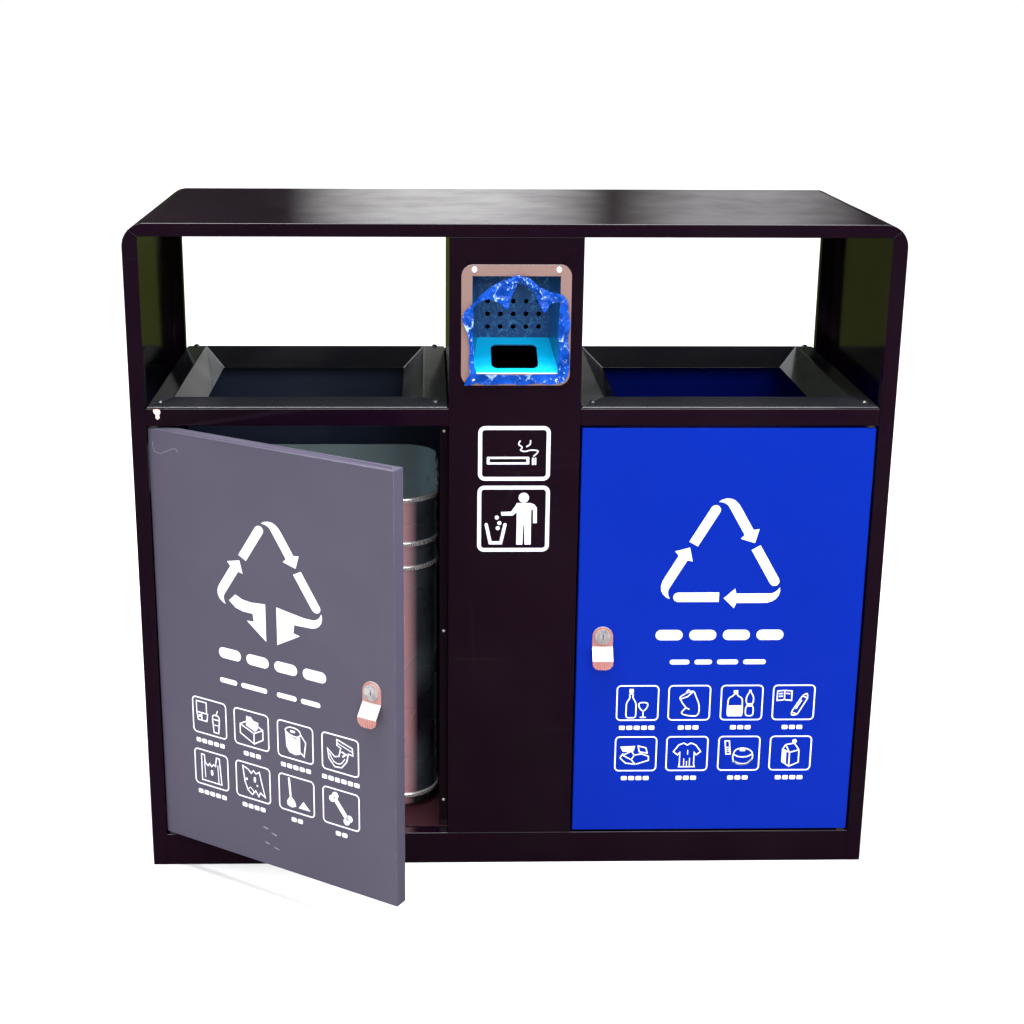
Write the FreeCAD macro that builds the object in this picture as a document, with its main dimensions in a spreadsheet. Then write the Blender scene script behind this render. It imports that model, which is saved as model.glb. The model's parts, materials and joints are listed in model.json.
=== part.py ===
"""Recycling bin station with two doored compartments and a column ashtray.

Units are millimetres. X runs to the right, Y to the back and Z up, with the
origin on the floor at the centre of the cabinet. The left door is drawn
closed and then swung about its pivot pins to its resting angle.
"""
import FreeCAD
import Part
import Sketcher
import math
import os

os.makedirs("parts", exist_ok=True)
doc = FreeCAD.newDocument("bin_station")
sheet = doc.addObject("Spreadsheet::Sheet", "Dims")

LEFT = -1
RIGHT = 1
SIDES = ((LEFT, "left"), (RIGHT, "right"))
ROLES = {"XY": "XY_Plane", "XZ": "XZ_Plane", "YZ": "YZ_Plane"}
TOL = 0.02


class Dim:
    """A length with its spreadsheet expression and its present value."""

    def __init__(self, text, value):
        self.text = text
        self.value = float(value)

    def join(self, sign, other, value, swap=False):
        """Combine two lengths into one expression."""
        pair = (as_dim(other).text, self.text) if swap else (self.text, as_dim(other).text)
        return Dim("(%s %s %s)" % (pair[0], sign, pair[1]), value)

    def __add__(self, other):
        return self.join("+", other, self.value + as_dim(other).value)

    def __radd__(self, other):
        return self.join("+", other, self.value + as_dim(other).value)

    def __sub__(self, other):
        return self.join("-", other, self.value - as_dim(other).value)

    def __rsub__(self, other):
        return self.join("-", other, as_dim(other).value - self.value, True)

    def __mul__(self, other):
        return self.join("*", other, self.value * as_dim(other).value)

    def __rmul__(self, other):
        return self.join("*", other, self.value * as_dim(other).value)

    def __truediv__(self, other):
        return self.join("/", other, self.value / as_dim(other).value)

    def __neg__(self):
        return Dim("(-1 * %s)" % self.text, -self.value)


def as_dim(item):
    """Return a plain number as a length."""
    if isinstance(item, Dim):
        return item
    return Dim("%g" % item, item)


row_count = 0


def dim(alias, value):
    """Add one driving dimension to the sheet."""
    global row_count
    row_count += 1
    sheet.set("A%d" % row_count, alias)
    sheet.set("B%d" % row_count, "%g" % value)
    sheet.setAlias("B%d" % row_count, alias)
    return Dim("Dims." + alias, value)


# ---------------------------------------------------------------- dimensions
wide = dim("wide", 1000)
deep = dim("deep", 400)
tall = dim("tall", 900)
skin = dim("skin", 1.5)
lip_side = dim("lip_side", 20)
lip_top = dim("lip_top", 17)
lip_return = dim("lip_return", 16)
corner_round = dim("corner_round", 30)
column_wide = dim("column_wide", 172)
plinth_high = dim("plinth_high", 47)
plinth_foot = dim("plinth_foot", 28)
rail_flange = dim("rail_flange", 20)
sill_top = dim("sill_top", 660)
sill_low = dim("sill_low", 637)
floor_side_gap = dim("floor_side_gap", 1)
floor_end_gap = dim("floor_end_gap", 19)
cross_wide = dim("cross_wide", 60)
door_gap = dim("door_gap", 3)
door_deep = dim("door_deep", 20)
door_skin = dim("door_skin", 1.5)
door_bend = dim("door_bend", 2)
door_hem = dim("door_hem", 14)
hang_hole = dim("hang_hole", 2.2)
hang_edge = dim("hang_edge", 12)
pivot_inset = dim("pivot_inset", 7)
pin_round = dim("pin_round", 4)
pin_play = dim("pin_play", 0.05)
pin_reach = dim("pin_reach", 15)
pin_root = dim("pin_root", 8)
bush_wall = dim("bush_wall", 1.3)
bush_long = dim("bush_long", 12)
washer_round = dim("washer_round", 7)
washer_play = dim("washer_play", 0.3)
door_rest_angle = dim("door_rest_angle", 33)
stop_wide = dim("stop_wide", 12)
stop_leg = dim("stop_leg", 28)
stop_play = dim("stop_play", 0.5)
lock_edge = dim("lock_edge", 35)
lock_high = dim("lock_high", 342)
lock_wide = dim("lock_wide", 28)
lock_plate = dim("lock_plate", 1.5)
lock_flat = dim("lock_flat", 14)
lock_slope = dim("lock_slope", 17)
lock_lip = dim("lock_lip", 13)
lock_out = dim("lock_out", 12)
barrel_round = dim("barrel_round", 9)
rotor_round = dim("rotor_round", 7)
rotor_play = dim("rotor_play", 0.05)
bezel_round = dim("bezel_round", 10.5)
bezel_high = dim("bezel_high", 2.5)
barrel_nut_high = dim("barrel_nut_high", 4)
barrel_nut_flat = dim("barrel_nut_flat", 24)
cam_long = dim("cam_long", 34)
cam_wide = dim("cam_wide", 13)
cam_thick = dim("cam_thick", 2)
cam_play = dim("cam_play", 0.7)
stud_round = dim("stud_round", 3)
cam_nut_flat = dim("cam_nut_flat", 12)
cam_nut_high = dim("cam_nut_high", 3)
key_wide = dim("key_wide", 1.6)
key_high = dim("key_high", 8)
hopper_gap = dim("hopper_gap", 2)
hopper_flange = dim("hopper_flange", 30)
hopper_rise = dim("hopper_rise", 6.5)
hopper_fall = dim("hopper_fall", 27)
hopper_run = dim("hopper_run", 31)
hopper_skin = dim("hopper_skin", 2)
screw_head = dim("screw_head", 4.5)
screw_high = dim("screw_high", 2.2)
screw_shank = dim("screw_shank", 2)
screw_long = dim("screw_long", 8)
tray_wide = dim("tray_wide", 141)
tray_tall = dim("tray_tall", 157)
tray_mid = dim("tray_mid", 770)
tray_skin = dim("tray_skin", 1.2)
tray_corner = dim("tray_corner", 15)
recess_wide = dim("recess_wide", 113)
recess_back_wide = dim("recess_back_wide", 95)
recess_low = dim("recess_low", 707)
recess_top = dim("recess_top", 834)
recess_back_low = dim("recess_back_low", 740)
recess_back_top = dim("recess_back_top", 830)
recess_deep = dim("recess_deep", 75)
slot_wide = dim("slot_wide", 61)
slot_deep = dim("slot_deep", 49)
slot_front = dim("slot_front", 10)
slot_corner = dim("slot_corner", 8)
vent_round = dim("vent_round", 3.3)
vent_pitch = dim("vent_pitch", 17)
vent_low = dim("vent_low", 754.5)
tray_screw_wide = dim("tray_screw_wide", 108)
tray_screw_tall = dim("tray_screw_tall", 144)
rivet_head = dim("rivet_head", 3.8)
rivet_high = dim("rivet_high", 1.8)
can_wide = dim("can_wide", 130)
can_deep = dim("can_deep", 120)
can_tall = dim("can_tall", 270)
can_low = dim("can_low", 400)
can_front = dim("can_front", 20)
can_skin = dim("can_skin", 1.2)
liner_wide = dim("liner_wide", 364)
liner_deep = dim("liner_deep", 290)
liner_front = dim("liner_front", 75)
liner_low = dim("liner_low", 64)
liner_top = dim("liner_top", 516)
liner_skin = dim("liner_skin", 1.5)
liner_corner = dim("liner_corner", 52)
liner_foot_in = dim("liner_foot_in", 10)
liner_foot_play = dim("liner_foot_play", 0.3)
bead_out = dim("bead_out", 3)
bead_high = dim("bead_high", 7)
bead_one = dim("bead_one", 449)
bead_two = dim("bead_two", 414)
rim_out = dim("rim_out", 3.5)
rim_high = dim("rim_high", 7)
back_skin = dim("back_skin", 1.5)
film_thick = dim("film_thick", 0.8)
film_edge = dim("film_edge", 6)
doc.recompute()

FRONT = -deep / 2
BACK = deep / 2
HALF = wide / 2
COLUMN = column_wide / 2
POST = HALF - lip_side
DOOR_OUT = POST - door_gap
DOOR_IN = COLUMN + door_gap
DOOR_LOW = plinth_high + door_gap
DOOR_TOP = sill_low - door_gap
PIVOT_X = DOOR_OUT - pivot_inset
PIVOT_Y = FRONT + pivot_inset
DOOR_BACK = FRONT + door_deep
FLOOR_TOP = plinth_high + skin
LOCK_X = DOOR_IN + lock_edge
WINDOW_TOP = tall - lip_top
nodes = []


# ------------------------------------------------------------------- helpers
def new_body(label):
    """Start a body for one node."""
    body = doc.addObject("PartDesign::Body", label)
    body.Label = label
    nodes.append(body)
    return body


def base_plane(body, plane):
    """Return the body's own origin plane."""
    return [item for item in body.Origin.OriginFeatures if item.Role == ROLES[plane]][0]


def place_point(sketch, geometry, position, point):
    """Fix one sketch point by its distances from the origin."""
    for kind, length in (("DistanceX", point[0]), ("DistanceY", point[1])):
        index = sketch.addConstraint(Sketcher.Constraint(kind, -1, 1, geometry, position, length.value))
        sketch.setExpression("Constraints[%d]" % index, length.text)


def add_polygon(sketch, points):
    """Draw a closed polygon with every corner driven by the sheet."""
    points = [(as_dim(x), as_dim(y)) for x, y in points]
    vectors = [FreeCAD.Vector(x.value, y.value, 0) for x, y in points]
    first = sketch.GeometryCount
    count = len(points)
    for index in range(count):
        line = Part.LineSegment(vectors[index], vectors[(index + 1) % count])
        sketch.addGeometry(line, False)
    for index in range(count):
        follower = first + (index + 1) % count
        sketch.addConstraint(Sketcher.Constraint("Coincident", first + index, 2, follower, 1))
    for index in range(count):
        place_point(sketch, first + index, 1, points[index])


def add_circle(sketch, x, y, radius):
    """Draw a circle driven by the sheet."""
    x = as_dim(x)
    y = as_dim(y)
    centre = FreeCAD.Vector(x.value, y.value, 0)
    index = sketch.addGeometry(Part.Circle(centre, FreeCAD.Vector(0, 0, 1), radius.value), False)
    size = sketch.addConstraint(Sketcher.Constraint("Radius", index, radius.value))
    sketch.setExpression("Constraints[%d]" % size, radius.text)
    place_point(sketch, index, 3, (x, y))


def rectangle(x_low, x_high, y_low, y_high):
    """Return the corners of a rectangle."""
    return [(x_low, y_low), (x_high, y_low), (x_high, y_high), (x_low, y_high)]


def new_sketch(body, plane, start, shapes):
    """Draw shapes on a plane parallel to an origin plane."""
    sketch = body.newObject("Sketcher::SketchObject", body.Label + "_sketch")
    sketch.AttachmentSupport = [(base_plane(body, plane), "")]
    sketch.MapMode = "FlatFace"
    start = as_dim(start)
    lift = -start if plane == "XZ" else start
    sketch.AttachmentOffset = FreeCAD.Placement(FreeCAD.Vector(0, 0, lift.value), FreeCAD.Rotation())
    sketch.setExpression("AttachmentOffset.Base.z", lift.text)
    for shape in shapes:
        if shape[0] == "circle":
            add_circle(sketch, *shape[1:])
        else:
            add_polygon(sketch, shape)
    return sketch


def pad(body, plane, start, length, shapes):
    """Add material from a plane towards the plane's positive side."""
    sketch = new_sketch(body, plane, start, shapes)
    feature = body.newObject("PartDesign::Pad", body.Label + "_pad")
    feature.Profile = sketch
    feature.Length = length.value
    feature.setExpression("Length", length.text)
    feature.Reversed = plane == "XZ"
    doc.recompute()
    return feature


def pocket(body, plane, start, length, shapes):
    """Remove material from a plane towards the plane's positive side."""
    before = body.Tip.Shape.Volume
    sketch = new_sketch(body, plane, start, shapes)
    feature = body.newObject("PartDesign::Pocket", body.Label + "_pocket")
    feature.Profile = sketch
    feature.Length = length.value
    feature.setExpression("Length", length.text)
    feature.Reversed = plane != "XZ"
    doc.recompute()
    assert feature.Shape.Volume < before - TOL, "pocket missed in " + body.Label
    return feature


def along(axis, **spots):
    """Return a test for straight edges along an axis through given spots."""
    spots = {key: as_dim(value).value for key, value in spots.items()}

    def chosen(edge):
        ends = [vertex.Point for vertex in edge.Vertexes]
        if len(ends) != 2:
            return False
        step = ends[1] - ends[0]
        parts = {"x": abs(step.x), "y": abs(step.y), "z": abs(step.z)}
        length = parts.pop(axis)
        if length < TOL or max(parts.values()) > TOL:
            return False
        middle = (ends[0] + ends[1]) * 0.5
        place = {"x": middle.x, "y": middle.y, "z": middle.z}
        return all(abs(place[key] - value) < TOL for key, value in spots.items())

    return chosen


def fillet(body, tests, radius):
    """Round every edge that passes one of the tests."""
    base = body.Tip
    edges = enumerate(base.Shape.Edges)
    names = ["Edge%d" % (index + 1) for index, edge in edges if any(test(edge) for test in tests)]
    assert names, "no edge to round in " + body.Label
    feature = body.newObject("PartDesign::Fillet", body.Label + "_fillet")
    feature.Base = (base, names)
    feature.Radius = radius.value
    feature.setExpression("Radius", radius.text)
    doc.recompute()
    return feature


def place_at(item, spot, turn=None):
    """Move a primitive to a spot held by the sheet."""
    spot = [as_dim(value) for value in spot]
    rotation = turn if turn else FreeCAD.Rotation()
    item.Placement = FreeCAD.Placement(FreeCAD.Vector(*[value.value for value in spot]), rotation)
    for key, value in zip("xyz", spot):
        item.setExpression("Placement.Base." + key, value.text)


def size_by(item, sizes):
    """Bind a primitive's sizes to the sheet."""
    for name, value in sizes.items():
        value = as_dim(value)
        setattr(item, name, value.value)
        item.setExpression(name, value.text)


def cylinder(name, axis, radius, start, length):
    """Make a cylinder that starts at a spot and runs along an axis."""
    item = doc.addObject("Part::Cylinder", name)
    size_by(item, {"Radius": radius, "Height": length})
    turns = {
        "x": FreeCAD.Rotation(FreeCAD.Vector(0, 1, 0), 90),
        "y": FreeCAD.Rotation(FreeCAD.Vector(1, 0, 0), -90),
        "z": FreeCAD.Rotation(),
    }
    place_at(item, start, turns[axis])
    return item


def cone(name, axis, low_radius, high_radius, start, length):
    """Make a truncated cone that starts at a spot and runs along an axis."""
    item = doc.addObject("Part::Cone", name)
    size_by(item, {"Radius1": low_radius, "Radius2": high_radius, "Height": length})
    turns = {"y": FreeCAD.Rotation(FreeCAD.Vector(1, 0, 0), -90), "z": FreeCAD.Rotation()}
    place_at(item, start, turns[axis])
    return item


def block(name, x_low, x_high, y_low, y_high, z_low, z_high):
    """Make a box between six planes."""
    item = doc.addObject("Part::Box", name)
    size_by(item, {"Length": x_high - x_low, "Width": y_high - y_low, "Height": z_high - z_low})
    place_at(item, (x_low, y_low, z_low))
    return item


def rounded_block(name, x_low, x_high, y_low, y_high, z_low, z_high, corner):
    """Make a box with its four upright edges rounded."""
    item = block(name + "_box", x_low, x_high, y_low, y_high, z_low, z_high)
    doc.recompute()
    rounded = doc.addObject("Part::Fillet", name)
    rounded.Base = item
    upright = [index + 1 for index, edge in enumerate(item.Shape.Edges) if along("z")(edge)]
    rounded.Edges = [(index, corner.value, corner.value) for index in upright]
    doc.recompute()
    return rounded


def frustum(name, centre_x, low, high):
    """Make an upright frustum from two (height, half width, half depth) sections."""
    item = doc.addObject("Part::Wedge", name)
    low_z, low_x, low_y = low
    high_z, high_x, high_y = high
    sizes = {
        "Ymin": low_z, "Ymax": high_z,
        "Xmin": -low_x, "Xmax": low_x, "Zmin": -low_y, "Zmax": low_y,
        "X2min": -high_x, "X2max": high_x, "Z2min": -high_y, "Z2max": high_y,
    }
    size_by(item, sizes)
    place_at(item, (centre_x, as_dim(0), as_dim(0)), FreeCAD.Rotation(FreeCAD.Vector(1, 0, 0), 90))
    return item


def recess_wedge(name, y_low, y_high, front, rear):
    """Make a wedge that runs back from a front section to a rear section."""
    item = doc.addObject("Part::Wedge", name)
    sizes = {
        "Ymin": y_low, "Ymax": y_high,
        "Xmin": -front[0], "Xmax": front[0], "Zmin": front[1], "Zmax": front[2],
        "X2min": -rear[0], "X2max": rear[0], "Z2min": rear[1], "Z2max": rear[2],
    }
    size_by(item, sizes)
    return item


def cut(name, base, tool):
    """Subtract one shape from another."""
    item = doc.addObject("Part::Cut", name)
    item.Base = base
    item.Tool = tool
    doc.recompute()
    return item


def fuse(name, items):
    """Join several shapes that touch or overlap."""
    item = doc.addObject("Part::MultiFuse", name)
    item.Shapes = items
    item.Refine = True
    doc.recompute()
    return item


def group(name, items):
    """Keep several separate identical pieces in one node."""
    item = doc.addObject("Part::Compound", name)
    item.Links = items
    doc.recompute()
    return item


def keep(item, label):
    """Name a finished object as a node."""
    item.Label = label
    nodes.append(item)
    return item


def fastener(name, spot, head, high, shank, length):
    """Make one low domed screw that points backwards."""
    x, y, z = spot
    dome = cone(name + "_head", "y", head * 0.6, head, (x, y - high, z), high)
    rod = cylinder(name + "_rod", "y", shank, spot, length)
    return fuse(name, [dome, rod])



# --------------------------------------------------------------- outer shell
def build_shell():
    """Bend one sheet into sides and roof, with mitred lips front and back."""
    body = new_body("outer_shell")
    inner = HALF - skin
    ring = [(-HALF, 0), (-HALF, tall), (HALF, tall), (HALF, 0), (inner, 0),
            (inner, tall - skin), (-inner, tall - skin), (-inner, 0)]
    pad(body, "XZ", FRONT, deep, [ring])
    lip = [(-HALF + 0.5, 0), (-HALF + 0.5, tall - 0.5), (HALF - 0.5, tall - 0.5), (HALF - 0.5, 0),
           (POST, 0), (POST, WINDOW_TOP), (-POST, WINDOW_TOP), (-POST, 0)]
    fold = [(-POST - skin, 0), (-POST - skin, WINDOW_TOP + skin), (POST + skin, WINDOW_TOP + skin),
            (POST + skin, 0), (POST, 0), (POST, WINDOW_TOP), (-POST, WINDOW_TOP), (-POST, 0)]
    for start, fold_start in ((FRONT, FRONT + 0.5), (BACK - skin, BACK - lip_return)):
        pad(body, "XZ", start, skin, [lip])
        pad(body, "XZ", fold_start, lip_return - 0.5, [fold])
    outer = [along("y", x=side * HALF, z=tall) for side in (LEFT, RIGHT)]
    fillet(body, outer, corner_round)
    inside = [along("y", x=side * inner, z=tall - skin) for side in (LEFT, RIGHT)]
    fillet(body, inside, corner_round - skin)


# ---------------------------------------------------------- rails and panels
def channel_loop(face, inward, low, high, low_reach, high_reach):
    """Return a C section in Y and Z whose web stands on the face plane."""
    web = face + inward * skin
    return [(face, low), (face + inward * low_reach, low), (face + inward * low_reach, low + skin),
            (web, low + skin), (web, high - skin), (face + inward * high_reach, high - skin),
            (face + inward * high_reach, high), (face, high)]


def build_rails():
    """Make the sill rails, the plinth rails and the cross rail."""
    for side, name in SIDES:
        start = COLUMN if side == RIGHT else -POST
        for face, inward, end in ((FRONT, 1, "front"), (BACK, -1, "rear")):
            body = new_body("%s_sill_%s" % (end, name))
            loop = channel_loop(face, inward, sill_low, sill_top, rail_flange, rail_flange)
            pad(body, "YZ", start, POST - COLUMN, [loop])
            if end == "front":
                hole = ("circle", side * PIVOT_X, PIVOT_Y, pin_round)
                pocket(body, "XY", sill_low - 1, skin + 2, [hole])
    for face, inward, end in ((FRONT, 1, "front"), (BACK, -1, "rear")):
        body = new_body("plinth_" + end)
        loop = channel_loop(face, inward, as_dim(0), plinth_high, plinth_foot, rail_flange)
        pad(body, "YZ", -POST, POST * 2, [loop])
        if end == "front":
            holes = [("circle", side * PIVOT_X, PIVOT_Y, pin_round) for side in (LEFT, RIGHT)]
            pocket(body, "XY", plinth_high - skin - 1, skin + 2, holes)
    body = new_body("cross_rail")
    low = -cross_wide / 2
    high = cross_wide / 2
    top = plinth_high
    loop = [(low, 0), (high, 0), (high, top), (high - skin, top), (high - skin, skin),
            (low + skin, skin), (low + skin, top), (low, top)]
    pad(body, "XZ", FRONT + plinth_foot, deep - plinth_foot * 2, [loop])


def build_floor():
    """Lay the floor pan over the plinth flanges."""
    body = new_body("floor_pan")
    edge = HALF - skin - floor_side_gap
    pad(body, "XY", plinth_high, skin, [rectangle(-edge, edge, FRONT + floor_end_gap, BACK - floor_end_gap)])


def build_column():
    """Make the column's front, rear and flank panels and the door stops."""
    for face, inward, end in ((FRONT, 1, "front"), (BACK, -1, "rear")):
        body = new_body("column_" + end)
        inner = face + inward * lip_return
        web = face + inward * skin
        loop = [(-COLUMN, face), (COLUMN, face), (COLUMN, inner), (COLUMN - skin, inner),
                (COLUMN - skin, web), (-COLUMN + skin, web), (-COLUMN + skin, inner), (-COLUMN, inner)]
        pad(body, "XY", plinth_high, WINDOW_TOP - plinth_high, [loop])
        if end == "front":
            half = recess_wide / 2 + 2
            window = rectangle(-half, half, recess_low - 2, recess_top + 2)
            pocket(body, "XZ", FRONT - 1, skin + 2, [window])
            rows = (tray_mid - tray_screw_tall / 2, tray_mid + tray_screw_tall / 2)
            holes = [("circle", side * tray_screw_wide / 2, row, screw_shank) for side in (-1, 1) for row in rows]
            pocket(body, "XZ", FRONT - 1, skin + 2, holes)
    for side, name in SIDES:
        body = new_body("column_flank_" + name)
        low = COLUMN - skin if side == RIGHT else -COLUMN
        pad(body, "XY", FLOOR_TOP, tall - skin - FLOOR_TOP,
            [rectangle(low, low + skin, FRONT + lip_return, BACK - lip_return)])
        body = new_body("door_stop_" + name)
        near = DOOR_BACK + stop_play
        root = side * COLUMN
        tip = side * (COLUMN + stop_wide)
        leg = side * (COLUMN + skin)
        loop = [(root, near), (tip, near), (tip, near + skin), (leg, near + skin),
                (leg, near + stop_leg), (root, near + stop_leg)]
        pad(body, "XY", FLOOR_TOP, sill_low - FLOOR_TOP, [loop])


def build_back_panels():
    """Close the compartments at the back, below the rear sills."""
    spots = []
    for side, name in SIDES:
        body = new_body("rear_panel_" + name)
        low = COLUMN if side == RIGHT else -POST - skin
        high = POST + skin if side == RIGHT else -COLUMN
        pad(body, "XZ", BACK - lip_return - back_skin, back_skin, [rectangle(low, high, FLOOR_TOP, sill_low)])
        for x in (side * (COLUMN + 12), side * (POST - 12)):
            for z in (FLOOR_TOP + 16, sill_low - 16):
                spots.append((x, z))
    rivets = []
    for index, (x, z) in enumerate(spots):
        face = BACK - lip_return - back_skin
        rivets.append(cone("back_rivet_%d" % index, "y", rivet_head * 0.6, rivet_head,
                           (x, face - rivet_high, z), rivet_high))
    keep(group("rear_rivets_group", rivets), "rear_panel_rivets")


# -------------------------------------------------------------------- hopper
def build_hoppers():
    """Fold the two funnel inserts and set their corner screws."""
    screws = []
    for side, name in SIDES:
        centre = side * (POST + COLUMN) / 2
        half_x = (POST - COLUMN) / 2 - hopper_gap
        half_y = deep / 2 - 1
        ridge_x = half_x - hopper_flange
        ridge_y = half_y - hopper_flange
        foot_x = ridge_x - hopper_run
        foot_y = ridge_y - hopper_run
        edge_z = sill_top + hopper_skin
        ridge_z = edge_z + hopper_rise
        foot_z = ridge_z - hopper_fall
        label = "hopper_" + name
        skirt = frustum(label + "_skirt", centre, (sill_top, half_x, half_y), (edge_z, half_x, half_y))
        rise = frustum(label + "_rise", centre, (edge_z, half_x, half_y), (ridge_z, ridge_x, ridge_y))
        fall = frustum(label + "_fall", centre, (foot_z, foot_x + 2, foot_y + 2), (ridge_z, ridge_x, ridge_y))
        mouth = frustum(label + "_mouth", centre, (foot_z - 0.01, foot_x - 0.5, foot_y - 0.5),
                        (ridge_z + 0.01, ridge_x - 1.5, ridge_y - 1.5))
        top = fuse(label + "_top", [skirt, rise])
        hollow_low = frustum(label + "_low", centre, (sill_top - 0.01, half_x - 1.5, half_y - 1.5),
                             (ridge_z - hopper_skin, ridge_x, ridge_y))
        flange = cut(label + "_flange", top, hollow_low)
        whole = fuse(label + "_whole", [flange, fall])
        keep(cut(label + "_node", whole, mouth), label)
        reach = hopper_flange * 0.5
        for along_x in (LEFT, RIGHT):
            for along_y in (LEFT, RIGHT):
                spot = (centre + along_x * (half_x - reach), along_y * (half_y - reach), edge_z + hopper_rise * 0.5)
                screws.append(cone("hopper_screw_%d" % len(screws), "z", screw_head, screw_head * 0.6,
                                   spot, screw_high))
    keep(group("hopper_screw_group", screws), "hopper_screws")


# ------------------------------------------------------------------- ashtray
def build_ashtray():
    """Make the ashtray pan with its perforated back, its screws and its film."""
    body = new_body("ashtray_face")
    half_x = tray_wide / 2
    low = tray_mid - tray_tall / 2
    high = tray_mid + tray_tall / 2
    start = FRONT - tray_skin
    pad(body, "XZ", start, tray_skin, [rectangle(-half_x, half_x, low, high)])
    corners = [along("y", x=side * half_x, z=level) for side in (LEFT, RIGHT) for level in (low, high)]
    fillet(body, corners, tray_corner)
    nodes.remove(body)
    body.Label = "ashtray_face_plate"
    face = FRONT
    rear = FRONT + recess_deep
    wall = tray_skin
    outer = recess_wedge("recess_outer", face - tray_skin, rear,
                         (recess_wide / 2 + wall, recess_low - wall, recess_top + wall),
                         (recess_back_wide / 2 + wall, recess_back_low - wall, recess_back_top + wall))
    hollow = recess_wedge("recess_hollow", face - tray_skin - 0.01, rear - wall,
                          (recess_wide / 2, recess_low, recess_top),
                          (recess_back_wide / 2, recess_back_low, recess_back_top))
    solid = cut("ashtray_hollowed", fuse("ashtray_joined", [body, outer]), hollow)
    rounded = rounded_block("ash_slot", -slot_wide / 2, slot_wide / 2, face + slot_front,
                            face + slot_front + slot_deep, recess_low - 20, recess_back_low + 5, slot_corner)
    tools = [rounded]
    for column in range(5):
        for row in range(3):
            spot = (vent_pitch * (column - 2), rear - wall - 1, vent_low + vent_pitch * row)
            tools.append(cylinder("vent_%d_%d" % (column, row), "y", vent_round, spot, wall + 2))
    for side in (LEFT, RIGHT):
        for level in (LEFT, RIGHT):
            spot = (side * tray_screw_wide / 2, face - tray_skin - 1, tray_mid + level * tray_screw_tall / 2)
            tools.append(cylinder("tray_hole_%d_%d" % (side, level), "y", screw_shank, spot, tray_skin + 2))
    keep(cut("ashtray_node", solid, group("ashtray_tools", tools)), "ashtray_pan")
    screws = []
    for side in (LEFT, RIGHT):
        for level in (LEFT, RIGHT):
            spot = (side * tray_screw_wide / 2, face - tray_skin, tray_mid + level * tray_screw_tall / 2)
            screws.append(fastener("tray_screw_%d" % len(screws), spot, rivet_head, rivet_high,
                                   screw_shank, screw_long))
    keep(group("tray_screw_group", screws), "ashtray_screws")
    body = new_body("ashtray_film")
    edge = tray_wide / 2 - film_edge
    hole = recess_wide / 2 - 1
    outer_loop = rectangle(-edge, edge, low + film_edge * 2.5, high - film_edge * 2.5)
    inner_loop = rectangle(-hole, hole, recess_low + 4, recess_top - 4)
    pad(body, "XZ", start - film_thick, film_thick, [outer_loop, inner_loop])


def build_ash_can():
    """Hang the ash can under the slot on a shelf between the flanks."""
    body = new_body("ash_shelf")
    half = COLUMN - skin
    pad(body, "XY", can_low - skin - 0.2, skin,
        [rectangle(-half, half, FRONT + lip_return, FRONT + can_front + can_deep + 5)])
    body = new_body("ash_can")
    half = can_wide / 2
    front = FRONT + can_front
    rear = front + can_deep
    pad(body, "XY", can_low, can_tall, [rectangle(-half, half, front, rear)])
    inner = half - can_skin
    pocket(body, "XY", can_low + can_skin, can_tall,
           [rectangle(-inner, inner, front + can_skin, rear - can_skin)])


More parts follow.
